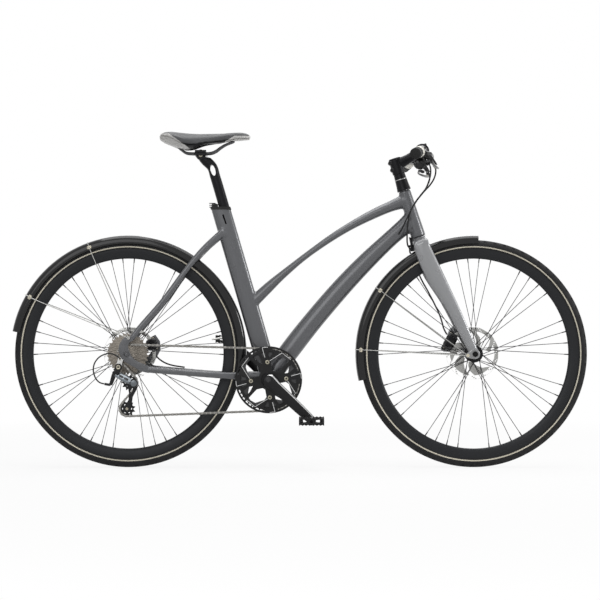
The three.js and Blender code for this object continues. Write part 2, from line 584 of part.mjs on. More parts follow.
function coneSolid() {
  return cut(solid(rod(onHead(cone.bottom, 0, 0), onHead(cone.top, 0, 0), cone.bottomRadius, 14, cone.topRadius)),
    [solid(rod(onHead(cone.bottom + overrun, 0, 0), onHead(cone.top - overrun, 0, 0),
      fork.steererRadius + seat + 0.2, 12))]);
}
function stemSolids() {
  const steererBore = solid(rod(onHead(stem.clampBottom + overrun, 0, 0), onHead(stem.clampTop - seat, 0, 0),
    fork.steererRadius + seat + stem.borePlay, 12));
  const barBore = solid(rod(barCentre.clone().setY(-stem.boreHalf), barCentre.clone().setY(stem.boreHalf),
    handlebar.clampRadius + seat, 12));
  const drum = solid(rod(v(barCentre.x, -stem.halfWidth, barCentre.z), v(barCentre.x, stem.halfWidth, barCentre.z),
    stem.barRadius, 16));
  // A box ahead of the bar's centre parts the front cap from the stem
  const ahead = (gap) => {
    const box = new THREE.BoxGeometry(stem.splitSide, stem.splitSide, stem.splitSide);
    box.translate(stem.splitSide / 2 - gap, 0, 0).rotateY(headAngle - quarterTurn);
    return solid(box.translate(barCentre.x + stem.splitAhead, 0, barCentre.z));
  };
  const front = ahead(0);
  const body = joined([
    solid(rod(onHead(stem.clampBottom, 0, 0), onHead(stem.clampTop - stem.capHeight, 0, 0), stem.radius, 14)),
    solid(stationTube(stemExtension.map(([along, ahead, deep, wide]) => [onHead(along, ahead, 0), deep, wide]),
      10, tubePower)),
    ...stem.boltsAlong.map((along) => solid(rod(onHead(along, stem.boltBack, -stem.boltHalf),
      onHead(along, stem.boltBack, stem.boltHalf), stem.boltRadius, 8))),
    drum]);
  const back = cut(body, [steererBore, barBore, ahead(seat)]);
  return [back, cut(drum.intersect(front), [barBore])];
}

// Handlebar: half widths from the stem outwards, with shares of the sweep and the drop there
const barOutShares = [0, 0.12, 0.2, 0.4, 0.7, 1];
const barSweepShares = [0, 0, 0.06, 0.28, 0.62, 1];
function barPoint(side, share) {
  let i = 0;
  while (i < barOutShares.length - 2 && share > barOutShares[i + 1]) i += 1;
  const t = (share - barOutShares[i]) / (barOutShares[i + 1] - barOutShares[i]);
  const sweep = lerp(barSweepShares[i], barSweepShares[i + 1], t);
  return v(barCentre.x - handlebar.sweepBack * sweep, (side * share * barWidth) / 2,
    barCentre.z - handlebar.drop * sweep);
}
function handlebarGeometry() {
  const forward = v(1, 0, 0);
  const up = v(0, 0, 1);
  const halves = barOutShares.slice(1).map((share) => [share, share < 0.15
    ? handlebar.clampRadius : handlebar.gripRadius]);
  const stations = [...halves.map(([s, r]) => [-1, s, r]).reverse(), ...halves.map(([s, r]) => [1, s, r])];
  return loft(stations.map(([side, share, radius]) => ring(
    barPoint(side, share), forward, up, radius, radius, 12)));
}
// A sleeve on the bar between two shares of its half width
function sleeve(side, from, to, radii, sides) {
  const outer = radii.map(([share, radius]) => ring(
    barPoint(side, lerp(from, to, share)), v(1, 0, 0), v(0, 0, 1), radius, radius, sides));
  return cut(solid(loft(outer)), [barPassage(side, from - 0.02, to + 0.02)]);
}
// The room that the bar and its clearance take between two shares of its half width
function barPassage(side, from, to) {
  const shares = [from, ...barOutShares.filter((share) => share > from && share < to), Math.min(to, 1)];
  const radius = handlebar.gripRadius + seat;
  const rings = shares.map((share) => ring(barPoint(side, share), v(1, 0, 0), v(0, 0, 1), radius, radius, 12));
  if (to > 1) rings.push(ring(barPoint(side, 1).add(v(0, side * seat, 0)), v(1, 0, 0), v(0, 0, 1), radius, radius, 12));
  return solid(loft(rings));
}
function gripSolid(side) {
  const ribShares = [0, 0.02, 0.12, 0.2, 0.52, 0.84, 0.98];
  const radii = [15, 17, 17, 15, 16.4, 15.8, 16.2];
  const body = ribShares.map((share, i) => ring(barPoint(side, lerp(0.585, 1, share)),
    v(1, 0, 0), v(0, 0, 1), radii[i], radii[i], 12));
  body.push(ring(barPoint(side, 1).add(v(0, side * 4, 0)), v(1, 0, 0), v(0, 0, 1), 15, 15, 12));
  return cut(solid(loft(body)), [barPassage(side, 0.56, 1.02)]);
}

// Brake levers: a perch clamped on the bar, with a master cylinder ahead, and a blade on its pivot
const control = { perchShare: 0.5, shifterShare: 0.43, pivotForward: 44, pivotDrop: 46, earGap: 5.8 };
function perchSolid(side) {
  const c = barPoint(side, control.perchShare);
  const clamp = sleeve(side, 0.47, 0.53, [[0, 17], [1, 17]], 12);
  const at = (x, out, z) => v(c.x + x, c.y + side * out, c.z + z);
  const cylinder = loft([
    ring(at(14, 14, -8), v(1, 0, 0), v(0, 0, 1), 8, 9, 8, 3),
    ring(at(26, -6, -12), v(1, 0, 0), v(0, 0, 1), 11, 13, 8, 3),
    ring(at(34, -34, -14), v(1, 0, 0), v(0, 0, 1), 10, 11, 8, 3),
    ring(at(38, -56, -14), v(1, 0, 0), v(0, 0, 1), 7, 7, 8, 3)]);
  const ear = loft([
    ring(at(24, 6, -10), v(1, 0, 0), v(0, 1, 0), 10, 9, 8, 3),
    ring(at(36, 10, -28), v(1, 0, 0), v(0, 1, 0), 9, 10, 8, 3),
    ring(at(control.pivotForward, 12, control.earGap - control.pivotDrop), v(1, 0, 0), v(0, 1, 0), 8, 9, 8, 3)]);
  return cut(joined([clamp, solid(cylinder), solid(ear)]), [barPassage(side, 0.3, 0.7)]);
}
const bladePoints = [[0, 12, 0], [3, 26, -2], [2, 50, -4], [-4, 80, -3], [-13, 110, 2], [-19, 132, 7], [-21, 142, 12]];
const bladeWidthShares = [0.9, 1, 0.8, 0.72, 0.72, 0.66, 0.5];
const blade = { width: 17, thickness: 7 };
function bladeGeometry(side) {
  const c = barPoint(side, control.perchShare);
  const tilt = v(0.86, 0, -0.5);
  const thick = v(0.5, 0, 0.86);
  return loft(bladePoints.map(([x, out, z], i) => ring(
    v(c.x + control.pivotForward + x, c.y + side * out, c.z - control.pivotDrop + z),
    tilt, thick, (blade.width * bladeWidthShares[i]) / 2, blade.thickness / 2, 8, 3)));
}

// Shifter: a round indicator pod below the bar with two thumb levers
const pod = { radius: 20, half: 13, drop: 32, forward: 2, out: -26 };
const trigger = { thickness: 5, width: 11, drop: 3, forward: 4, reach: 30 };
function podCentre() {
  const c = barPoint(-1, control.perchShare);
  return v(c.x + pod.forward, c.y - pod.out, c.z - pod.drop);
}
function shifterSolid() {
  const c = podCentre();
  const ribs = turned(c, [
    [0.01, -pod.half], [pod.radius * 0.86, -pod.half], [pod.radius, -pod.half + 3],
    [pod.radius, 2], [pod.radius * 0.93, 5], [pod.radius * 0.9, pod.half], [0.01, pod.half]], 12);
  const neck = sleeve(-1, 0.375, 0.435, [[0, 16], [1, 16]], 12);
  const arm = rod(v(c.x, c.y, c.z + pod.radius - 8), v(c.x + 1, c.y, c.z + pod.drop - 6), 7, 8);
  return cut(joined([solid(ribs), neck, solid(arm)]), [barPassage(-1, 0.3, 0.7)]);
}
// A paddle below or ahead of the pod, from its hub outwards
function paddleGeometry(reachX, reachOut, reachZ, size) {
  const c = podCentre();
  const start = v(c.x, c.y, c.z - pod.radius - seat - size / 2);
  const stations = [0, 0.35, 0.75, 1].map((share) => start.clone().add(
    v(reachX * share, -reachOut * share, reachZ * share * share)));
  const widthShares = [0.9, 0.7, 1, 0.7];
  return loft(stations.map((p, i) => ring(p, v(1, 0, 0), v(0, 0, 1), size * widthShares[i], size * 0.45, 8, 3)));
}

// The release trigger stands ahead of the pod and is pulled back by a finger
function triggerGeometry() {
  const c = podCentre();
  const start = v(c.x + pod.radius + seat + trigger.thickness / 2, c.y, c.z - trigger.drop);
  const widthShares = [1, 0.8, 1, 0.6];
  return loft([0, 0.35, 0.75, 1].map((share, i) => ring(
    start.clone().add(v(trigger.forward * share, -trigger.reach * share, 0)),
    v(1, 0, 0), v(0, 0, 1), trigger.thickness / 2, (trigger.width * widthShares[i]) / 2, 8, 3)));
}

// Wheels: deep rim, tyre, hub with 36 spokes in nine groups of four, rotor on the left
const rimSize = { depth: 30.5, width: 23, lip: 5 };
rimSize.well = tyreRadius - tyreHeight;
rimSize.outer = rimSize.well + rimSize.lip;
rimSize.inner = rimSize.outer - rimSize.depth;
const wheelSegments = 30;
const tyreProfileShares = [[0, 0.5], [0.52, 1], [1, 0.3]];
const spoke = { count: 36, groupCount: 4, stepAngle: degToRad(7), holeRadius: 21, miss: 14, radius: 1.1, rimY: 1.6, lean: 1.9 };
const axle = { radius: 5 };
const rotorSize = { outer: 80, inner: 68, carrier: 28, bore: 17.5, thickness: 1.8, ventCount: 8 };

function tyreGeometry(centre) {
  const base = rimSize.well + seat;
  const side = tyreProfileShares.map(([r, w]) => [lerp(base, tyreRadius, r), (w * tyreWidth) / 2]);
  return turned(centre, [...side, ...side.map(([r, y]) => [r, -y]).reverse()], wheelSegments);
}
function rimGeometry(centre) {
  const half = rimSize.width / 2;
  const side = [[rimSize.inner, half * 0.5], [rimSize.outer, half], [rimSize.well, half * 0.75]];
  return turned(centre, [...side, ...side.map(([r, y]) => [r, -y]).reverse()], wheelSegments);
}
function hubSolid(centre, hub) {
  const body = turned(centre, [
    [axle.radius + seat, hub.end[0]], [hub.barrel * 0.8, hub.end[0]],
    [hub.flangeRadius, hub.flange[0] - 1.6], [hub.flangeRadius, hub.flange[0] + 1.6],
    [hub.barrel, hub.flange[0] + 6], [hub.barrel, hub.flange[1] - 6],
    [hub.flangeRadius, hub.flange[1] - 1.6], [hub.flangeRadius, hub.flange[1] + 1.6],
    [hub.rotorSeat, hub.rotorY - rotorSize.thickness / 2 - seat],
    [rotorSize.bore - seat, hub.rotorY - rotorSize.thickness / 2 - seat],
    [rotorSize.bore - seat, hub.rotorY + 4], [hub.barrel * 0.7, hub.end[1]], [axle.radius + seat, hub.end[1]],
  ], 12);
  const spokes = [];
  const groups = spoke.count / spoke.groupCount;
  for (let k = 0; k < groups; k += 1) {
    for (let i = 0; i < spoke.groupCount; i += 1) {
      const offset = (i - (spoke.groupCount - 1) / 2) * spoke.stepAngle;
      const rimAngle = quarterTurn + offset - (k * fullTurn) / groups;
      const turn = Math.asin(spoke.miss / spoke.holeRadius) - Math.asin(spoke.miss / rimSize.inner);
      const holeAngle = rimAngle - Math.sign(offset) * turn;
      const side = i % 2;
      const [hx, hz] = polar(spoke.holeRadius, holeAngle);
      const [rx, rz] = polar(rimSize.inner * Math.cos(Math.PI / wheelSegments) - seat, rimAngle);
      const lean = i < 2 ? -spoke.lean : spoke.lean;
      spokes.push(solid(rod(
        v(centre.x + hx, hub.flange[side] + lean, centre.z + hz),
        v(centre.x + rx, side ? spoke.rimY : -spoke.rimY, centre.z + rz), spoke.radius, 3)));
    }
  }
  return joined([solid(body), ...spokes]);
}
const frontHub = {
  end: [-frontHubWidth / 2 + 0.3, frontHubWidth / 2 - 0.3], flange: [-31, 24], flangeRadius: 26, barrel: 15,
  rotorSeat: 24, rotorY: 39.6,
};
const rearHub = {
  end: [-23, rearHubWidth / 2 - 0.3], flange: [-19, 35], flangeRadius: 26, barrel: 17, rotorSeat: 24, rotorY: 52.2,
};
function rotorGeometry(centre, y) {
  const arms = 6;
  const windows = [];
  for (let k = 0; k < arms; k += 1) {
    const start = (k * fullTurn) / arms;
    const lag = 0.5;
    const span = fullTurn / arms;
    windows.push([
      polar(rotorSize.carrier, start + 0.12 * span), polar(rotorSize.carrier, start + 0.6 * span),
      polar(rotorSize.inner, start + 0.88 * span + lag), polar(rotorSize.inner + 0.5, start + 0.5 * span + lag),
      polar(rotorSize.inner, start + 0.14 * span + lag)]);
  }
  const vents = Array.from({ length: rotorSize.ventCount }, (_, k) => {
    const angle = ((k + 0.5) * fullTurn) / rotorSize.ventCount;
    const r = (rotorSize.inner + rotorSize.outer) / 2;
    return [polar(r - 2.8, angle - 0.05), polar(r - 2.8, angle + 0.03), polar(r + 2.8, angle + 0.05),
      polar(r + 2.8, angle - 0.03)];
  });
  return plate(v(centre.x, 0, centre.z), circle(rotorSize.outer, 24), y - rotorSize.thickness / 2,
    y + rotorSize.thickness / 2, [...windows, ...vents, circle(rotorSize.bore, 12)]);
}
function axleGeometry(centre, hubWidth, plateThickness) {
  const face = hubWidth / 2 + plateThickness + seat;
  return turned(centre, [
    [0.01, -face - 9], [6.5, -face - 9], [8.5, -face - 5], [8.5, -face], [axle.radius, -face],
    [axle.radius, face], [8.5, face], [8.5, face + 5], [6.5, face + 9], [0.01, face + 9]], 8);
}

// Sprockets: trapezoid teeth where the chain lies and pointed ones elsewhere
const chain = { width: 5.6, slot: 2.9, height: 7.6, waist: 5.4, roller: 6.6, toothReachCount: 3 };
const cog = { thickness: 1.6, spacing: 3.95, bigY: -26.5, core: 19 };
const pitchRadius = (teeth) => chainPitch / (2 * Math.sin(Math.PI / teeth));
const tooth = { rise: 3.2, root: chain.height / 2 + 0.8, rootHalfShare: 0.3, tipHalfShare: 0.09,
  leaveCount: 4.5 };
function sprocketOutline(teeth, phase, wheel = null) {
  const r = pitchRadius(teeth);
  const step = fullTurn / teeth;
  const engaged = (angle) => drive.pins.some((pin) => pin.wheel === wheel
    && Math.cos(Math.atan2(pin.z - wheel.z, pin.x - wheel.x) - angle) > Math.cos(tooth.leaveCount * step));
  const points = [];
  for (let k = 0; k < teeth; k += 1) {
    const gap = phase + k * step;
    if (wheel && engaged(gap)) {
      points.push(polar(r - tooth.root, gap - step * tooth.rootHalfShare),
        polar(r - tooth.root, gap + step * tooth.rootHalfShare),
        polar(r + tooth.rise, gap + step * (0.5 - tooth.tipHalfShare)),
        polar(r + tooth.rise, gap + step * (0.5 + tooth.tipHalfShare)));
    } else {
      points.push(polar(r - tooth.root, gap), polar(r + tooth.rise, gap + step / 2));
    }
  }
  return points;
}

// The chain's path: belts round the chainring, tension pulley, guide pulley and the engaged cog
const ringY = -47;
const ringHalf = 0.8;
const cogY = cog.bigY - engagedCogIndex * cog.spacing;
const pulleyTeeth = 11;
const derailleur = {
  hangerX: -23, hangerZ: -38, linkX: -30, linkZ: -59, linkRunX: 53, linkRunZ: -27,
  guideX: -14.6, guideZ: 0, tensionX: -17.3, tensionZ: -79,
};
const knucklePivot = rearAxle.clone().add(v(derailleur.linkX, -72, derailleur.linkZ));
const cagePivot = knucklePivot.clone().add(v(derailleur.linkRunX, 0, derailleur.linkRunZ));

function beltPath(swing) {
  const swung = (x, z) => [cagePivot.x + x * Math.cos(swing) - z * Math.sin(swing),
    cagePivot.z + x * Math.sin(swing) + z * Math.cos(swing)];
  const [gx, gz] = swung(derailleur.guideX, derailleur.guideZ);
  const [tx, tz] = swung(derailleur.tensionX, derailleur.tensionZ);
  const wheels = [
    { x: bottomBracket.x, z: bottomBracket.z, y: ringY, r: pitchRadius(ringTeeth), spin: -1 },
    { x: tx, z: tz, y: cogY, r: pitchRadius(pulleyTeeth), spin: -1 },
    { x: gx, z: gz, y: cogY, r: pitchRadius(pulleyTeeth), spin: 1 },
    { x: rearAxle.x, z: rearAxle.z, y: cogY, r: pitchRadius(cogTeeth[engagedCogIndex]), spin: -1 },
  ];
  const lines = wheels.map((a, i) => {
    const b = wheels[(i + 1) % wheels.length];
    const gap = Math.hypot(b.x - a.x, b.z - a.z);
    const heading = Math.atan2(b.z - a.z, b.x - a.x) - Math.asin((b.spin * b.r - a.spin * a.r) / gap);
    const touch = (w) => [w.x + w.spin * w.r * Math.sin(heading), w.z - w.spin * w.r * Math.cos(heading)];
    return { from: touch(a), to: touch(b), heading, a, b };
  });
  const segments = [];
  let total = 0;
  lines.forEach((line, i) => {
    const next = lines[(i + 1) % lines.length];
    const length = Math.hypot(line.to[0] - line.from[0], line.to[1] - line.from[1]);
    segments.push({ start: total, length, line });
    total += length;
    const w = line.b;
    let sweep = (next.heading - line.heading) * w.spin;
    sweep = ((sweep % fullTurn) + fullTurn) % fullTurn;
    segments.push({ start: total, length: sweep * w.r, wheel: w, heading: line.heading });
    total += sweep * w.r;
  });
  const at = (s) => {
    const wrapped = ((s % total) + total) % total;
    const part = segments.find((seg) => wrapped < seg.start + seg.length) ?? segments[segments.length - 1];
    const along = wrapped - part.start;
    if (part.line) {
      const t = along / part.length;
      return { x: lerp(part.line.from[0], part.line.to[0], t), z: lerp(part.line.from[1], part.line.to[1], t),
        y: lerp(part.line.a.y, part.line.b.y, t) };
    }
    const heading = part.heading + (part.wheel.spin * along) / part.wheel.r;
    return { x: part.wheel.x + part.wheel.spin * part.wheel.r * Math.sin(heading),
      z: part.wheel.z - part.wheel.spin * part.wheel.r * Math.cos(heading), y: part.wheel.y, wheel: part.wheel };
  };
  return { at, total, wheels };
}

// Walks pins along the path, a chord of one pitch apart
function chainPins(path, count) {
  const pins = [];
  let s = 0;
  for (let i = 0; i < count; i += 1) {
    const here = path.at(s);
    pins.push(here);
    let low = s + chainPitch * 0.99;
    let high = s + chainPitch * 1.06;
    for (let k = 0; k < 40; k += 1) {
      const middle = (low + high) / 2;
      const there = path.at(middle);
      const chord = Math.hypot(there.x - here.x, there.z - here.z);
      if (chord < chainPitch) low = middle; else high = middle;
    }
    s = (low + high) / 2;
  }
  return { pins, end: s };
}

// The spring-loaded cage takes up the slack, so its swing is the one that leaves whole links
function solveChain() {
  let count = Math.round(beltPath(0).total / chainPitch);
  count -= count % 2;
  const slack = (swing) => {
    const path = beltPath(swing);
    return chainPins(path, count).end - path.total;
  };
  let low = degToRad(-30);
  let high = degToRad(30);
  const rising = slack(high) > slack(low);
  for (let k = 0; k < 50; k += 1) {
    const middle = (low + high) / 2;
    if ((slack(middle) > 0) === rising) high = middle; else low = middle;
  }
  const swing = (low + high) / 2;
  const path = beltPath(swing);
  return { swing, path, pins: chainPins(path, count).pins };
}
const drive = solveChain();
const [ringWheel, tensionWheel, guideWheel, cogWheel] = drive.path.wheels;
// The angle of the first pin that lies on a wheel, which is where that wheel has a tooth gap
function pinPhase(wheel) {
  const pin = drive.pins.find((p) => p.wheel === wheel);
  return Math.atan2(pin.z - wheel.z, pin.x - wheel.x);
}

// The links as one band, drawn in between its pins, with a window in each link that a tooth can reach
function chainSolid() {
  const { pins } = drive;
  const count = pins.length;
  const next = (i) => pins[(i + 1) % count];
  const heading = (a, b) => Math.atan2(b.z - a.z, b.x - a.x);
  const middle = (i) => v((pins[i].x + next(i).x) / 2, (pins[i].y + next(i).y) / 2, (pins[i].z + next(i).z) / 2);
  const section = (centre, angle, height) => {
    const up = v(-Math.sin(angle), 0, Math.cos(angle));
    return [[-1, -1], [1, -1], [1, 1], [-1, 1]].map(([across, rise]) => centre.clone()
      .addScaledVector(sideways, (across * chain.width) / 2).addScaledVector(up, (rise * height) / 2));
  };
  const band = loft(pins.flatMap((pin, i) => [
    section(v(pin.x, pin.y, pin.z), heading(pins.at(i - 1), next(i)), chain.height),
    section(middle(i), heading(pin, next(i)), chain.waist)]), true);
  const windows = [];
  pins.forEach((pin, i) => {
    const near = Array.from({ length: 2 * chain.toothReachCount + 2 }, (_, k) => pins.at((i + k - chain.toothReachCount) % count));
    if (!near.some((p) => p.wheel)) return;
    const box = new THREE.BoxGeometry(chainPitch - chain.roller, chain.slot, 2 * chain.height);
    const c = middle(i);
    windows.push(solid(box.rotateY(-heading(pin, next(i))).translate(c.x, c.y, c.z)));
  });
  return cut(solid(band), [joined(windows)]);
}

function cassetteSolid() {
  const plates = cogTeeth.map((teeth, i) => {
    const y = cog.bigY - i * cog.spacing;
    const phase = i === engagedCogIndex ? pinPhase(cogWheel) : i * 0.3;
    return solid(plate(rearAxle, sprocketOutline(teeth, phase, i === engagedCogIndex ? cogWheel : null),
      y - cog.thickness / 2, y + cog.thickness / 2));
  });
  const last = cog.bigY - (cogTeeth.length - 1) * cog.spacing;
  const core = turned(rearAxle, [
    [0.01, last - 3.4], [15, last - 3.4], [cog.core, last - 1], [cog.core, cog.bigY + 1], [0.01, cog.bigY + 1]], 10);
  const body = joined([solid(core), ...plates]);
  return cut(body, [solid(rod(v(rearAxle.x, -90, rearAxle.z), v(rearAxle.x, 0, rearAxle.z),
    axle.radius + seat, 12))]);
}

// Crankset: spindle and spider on the right arm, ring inside, guard outside
const crank = { boltRadius: 52, tabY: -52.3, armInnerY: -57, armThickness: 13, flare: 12, width: 33, endWidth: 26 };
const guard = { radius: 100.5, innerY: -52.6, thickness: 3, lip: 5 };
const spindleRadius = 12;
const guardBoltAngles = [94, 4, -86, 184].map(degToRad);

function chainringGeometry() {
  const inner = [];
  guardBoltAngles.map((a) => a).sort((a, b) => a - b).forEach((angle) => {
    inner.push(polar(66, angle - 0.5), polar(47, angle - 0.16), polar(47, angle + 0.16), polar(66, angle + 0.5),
      polar(78, angle + quarterTurn / 2));
  });
  return plate(bottomBracket, sprocketOutline(ringTeeth, pinPhase(ringWheel), ringWheel), ringY - ringHalf, ringY + ringHalf,
    [inner]);
}
function guardSolid() {
  const windows = guardBoltAngles.map((bolt) => {
    const middle = bolt + quarterTurn / 2;
    return [polar(88, middle - 0.52), polar(90, middle), polar(88, middle + 0.52), polar(60, middle + 0.5),
      polar(36, middle + 0.2), polar(36, middle - 0.2), polar(60, middle - 0.5)];
  });
  const fans = [];
  guardBoltAngles.forEach((bolt) => {
    fans.push([polar(64, bolt - 0.1), polar(89, bolt - 0.06), polar(89, bolt - 0.2)]);
    fans.push([polar(64, bolt + 0.1), polar(89, bolt + 0.2), polar(89, bolt + 0.06)]);
  });
  const disc = plate(bottomBracket, circle(guard.radius, 32), guard.innerY - guard.thickness, guard.innerY,
    [...windows, ...fans, circle(22, 12)]);
  return solid(disc);
}
function armStations(side, direction) {
  const shares = [0, 0.14, 0.5, 0.86, 1];
  const widthShares = [1.25, 1.05, 1, 0.9, 0.8];
  return shares.map((share, i) => {
    const inner = Math.abs(crank.armInnerY) + crank.flare * share;
    const centre = v(bottomBracket.x + crankLength * share * Math.cos(direction),
      side * (inner + crank.armThickness / 2), bottomBracket.z + crankLength * share * Math.sin(direction));
    return [centre, crank.width * widthShares[i], crank.armThickness];
  });
}
function armSolid(side, direction) {
  const across = v(-Math.sin(direction), 0, Math.cos(direction));
  const pedalEnd = armStations(side, direction).at(-1)[0];
  const body = loft(armStations(side, direction).map(([centre, width, thickness]) => ring(
    centre, across, sideways, width / 2, thickness / 2, 10, 3)));
  const eye = (centre, radius) => solid(rod(centre.clone().add(v(0, -crank.armThickness / 2, 0)),
    centre.clone().add(v(0, crank.armThickness / 2, 0)), radius, 12));
  const boss = armStations(side, direction)[0][0];
  const pin = solid(rod(pedalEnd, v(pedalEnd.x, side * pedal.outerY, pedalEnd.z), pedal.pinRadius, 10));
  return joined([solid(body), eye(boss, 22), eye(pedalEnd, crank.endWidth / 2), pin]);
}
function rightCrankSolid() {
  const spindle = solid(rod(v(bottomBracket.x, -60, bottomBracket.z), v(bottomBracket.x, 64, bottomBracket.z),
    spindleRadius, 16));
  const spider = [];
  guardBoltAngles.forEach((angle) => {
    const spread = 0.24;
    const outline = [polar(16, angle - 0.9), polar(crank.boltRadius + 4, angle - spread * 0.7),
      polar(crank.boltRadius + 7, angle), polar(crank.boltRadius + 4, angle + spread * 0.7), polar(16, angle + 0.9)];
    spider.push(solid(plate(bottomBracket, outline, crank.tabY, ringY - ringHalf - seat)));
  });
  const hub = solid(rod(v(bottomBracket.x, crank.armInnerY - 3, bottomBracket.z),
    v(bottomBracket.x, -43, bottomBracket.z), 20, 18));
  return joined([armSolid(-1, crankRest), spindle, hub, ...spider]);
}
function leftCrankSolid() {
  const boss = solid(rod(v(bottomBracket.x, 45, bottomBracket.z), v(bottomBracket.x, 66, bottomBracket.z), 19, 16));
  const bore = solid(rod(v(bottomBracket.x, 30, bottomBracket.z), v(bottomBracket.x, 64.5, bottomBracket.z),
    spindleRadius + seat, 16));
  return cut(joined([armSolid(1, crankRest + Math.PI), boss]), [bore]);
}
function cartridgeGeometry() {
  const half = shell.width / 2;
  return turned(bottomBracket, [
    [spindleRadius + seat, -half - 4.5], [21, -half - 4.5], [22, -half - seat], [shell.bore - seat, -half - seat],
    [shell.bore - seat, half + seat], [22, half + seat], [21, half + 4.5], [spindleRadius + seat, half + 4.5]], 16);
}

// Pedals: a cage of serrated rails about a barrel that turns on the crank's pin
const pedal = {
  pinRadius: 4.6, innerY: 86, outerY: 158, halfLength: 37, halfHeight: 12, barrel: 11, wall: 4,
  toothDepth: 2.5, barWide: 6, barInset: 4,
};
const pedalWindow = [[14, 4], [29, 5]];
function pedalSolid(side) {
  const centre = armStations(side, side < 0 ? crankRest : crankRest + Math.PI).at(-1)[0].clone().setY(0);
  const span = (from, to) => [Math.min(side * from, side * to), Math.max(side * from, side * to)];
  const teeth = 7;
  const railProfile = [];
  for (let k = 0; k <= teeth; k += 1) {
    const x = lerp(-pedal.halfLength, pedal.halfLength, k / teeth);
    railProfile.push([x, -pedal.halfHeight + (k % 2 ? pedal.toothDepth : 0)]);
  }
  const bottom = railProfile;
  const top = railProfile.map(([x, z]) => [x, -z]).reverse();
  const hollows = [-1, 1].map((s) => [
    ...pedalWindow.map(([x, z]) => [s * x, -z]), ...pedalWindow.map(([x, z]) => [s * x, z]).reverse()]);
  const rails = [[pedal.innerY, pedal.innerY + pedal.wall], [pedal.outerY - pedal.wall, pedal.outerY]].map(
    ([a, b]) => solid(plate(centre, [...bottom, ...top], ...span(a, b), hollows)));
  const bars = [-1, 1].map((s) => {
    const box = new THREE.BoxGeometry(pedal.barWide, pedal.outerY - pedal.innerY,
      2 * (pedal.halfHeight - pedal.toothDepth));
    return solid(box.translate(centre.x + s * (pedal.halfLength - pedal.barInset), (side * (pedal.outerY + pedal.innerY)) / 2,
      centre.z));
  });
  const [from, to] = span(pedal.innerY, pedal.outerY);
  const barrel = solid(rod(v(centre.x, from, centre.z), v(centre.x, to, centre.z), pedal.barrel, 12));
  const [boreFrom, boreTo] = span(pedal.innerY - 5, pedal.outerY + 5);
  const bore = solid(rod(v(centre.x, boreFrom, centre.z), v(centre.x, boreTo, centre.z), pedal.pinRadius + seat, 10));
  return cut(joined([...rails, ...bars, barrel]), [bore]);
}

// Rear derailleur: a knuckle on the hanger, two parallel links, a lower knuckle and a cage with two pulleys
const hangerBolt = rearAxle.clone().add(v(derailleur.hangerX, 0, derailleur.hangerZ));
function hangerSolid() {
  const outline = [[-20, -8], [-11, -18], [-14, -30], [derailleur.hangerX + 10, derailleur.hangerZ - 4],
    [derailleur.hangerX + 2, derailleur.hangerZ - 10], [derailleur.hangerX - 8, derailleur.hangerZ - 6],
    [derailleur.hangerX - 9, derailleur.hangerZ + 6], [-26, -20]];
  return cut(solid(plate(rearAxle, outline, -dropoutY - 3 - 5 - seat, -dropoutY - 3 - seat)),
    [solid(rod(hangerBolt.clone().setY(-90), hangerBolt.clone().setY(-60), 4, 10))]);
}
// The links swing about slanted pins, so that the cage moves inwards and down under the larger cogs
const link = { outerY: -85.5, innerY: -76, thickness: 3.6, height: 12, endRadius: 3.2, pivotBack: 9, sweepCount: 3 };
const linkRun = v(derailleur.linkRunX, 0, derailleur.linkRunZ).normalize();
const linkSwing = v(-0.28, 0.78, -0.55).normalize();
const linkAxis = linkRun.clone().cross(linkSwing).normalize();
const linkRange = [-12, 44].map(degToRad);
const linkEnds = (y) => [knucklePivot.clone().setY(y), cagePivot.clone().addScaledVector(linkRun, -link.pivotBack).setY(y)];
function linkSolid(y, grow = 0) {
  const [from, to] = linkEnds(y);
  const half = [link.thickness / 2 + grow, link.height / 2 + grow];
  const body = loft([0, 0.5, 1].map((share, i) => ring(from.clone().lerp(to, share), linkSwing, linkAxis,
    half[0], half[1] * [0.85, 1, 0.85][i], 8, 3)));
  const ends = [from, to].map((p) => rod(p.clone().addScaledVector(linkAxis, -half[1] * 0.85),
    p.clone().addScaledVector(linkAxis, half[1] * 0.85), link.endRadius + grow, 8));
  return joined([body, ...ends].map(solid));
}
// All the places that a link passes through as it swings about one of its ends
function linkPassage(y, end) {
  const pivot = linkEnds(y)[end];
  const passages = [];
  for (let k = 0; k <= link.sweepCount; k += 1) {
    const angle = lerp(linkRange[0], linkRange[1], k / link.sweepCount);
    const turn = new THREE.Matrix4().makeTranslation(pivot)
      .multiply(new THREE.Matrix4().makeRotationAxis(linkAxis, angle))
      .multiply(new THREE.Matrix4().makeTranslation(pivot.clone().negate()));
    passages.push(linkSolid(y, 0.5).transform(turn.elements));
  }
  return wasm.Manifold.hull(passages);
}
const mechOuterY = -93;
function knuckleSolid() {
  const body = rod(hangerBolt.clone().setY(-79.2), hangerBolt.clone().setY(-90), 11, 12);
  const arm = loft([-71, -81, -91].map((y) => ring(knucklePivot.clone().setY(y).add(v(-2, 0, 1)),
    v(1, 0, 0), v(0, 0, 1), 9.5, 10, 10, 3)));
  const web = loft([-80, -90].map((y) => ring(hangerBolt.clone().lerp(knucklePivot, 0.5).setY(y),
    v(1, 0, 0), v(0, 0, 1), 10, 9, 10, 3)));
  const boss = rod(v(hangerBolt.x, -82, hangerBolt.z), v(hangerBolt.x, -70, hangerBolt.z), 3.7, 10);
  const tailEnd = v(knucklePivot.x - 16, -85, knucklePivot.z - 32);
  const tail = rod(v(knucklePivot.x - 6, -85, knucklePivot.z - 2), tailEnd, 7.5, 8, 5.5);
  const barrel = rod(tailEnd, tailEnd.clone().add(v(-19, 0, 3)), 3.6, 8);
  const whole = joined([body, arm, web, boss, tail, barrel].map(solid));
  return cut(whole, [link.outerY, link.innerY].map((y) => linkPassage(y, 0)));
}
const cageSize = { plate: 2, half: 5.2, pin: 2.5 };
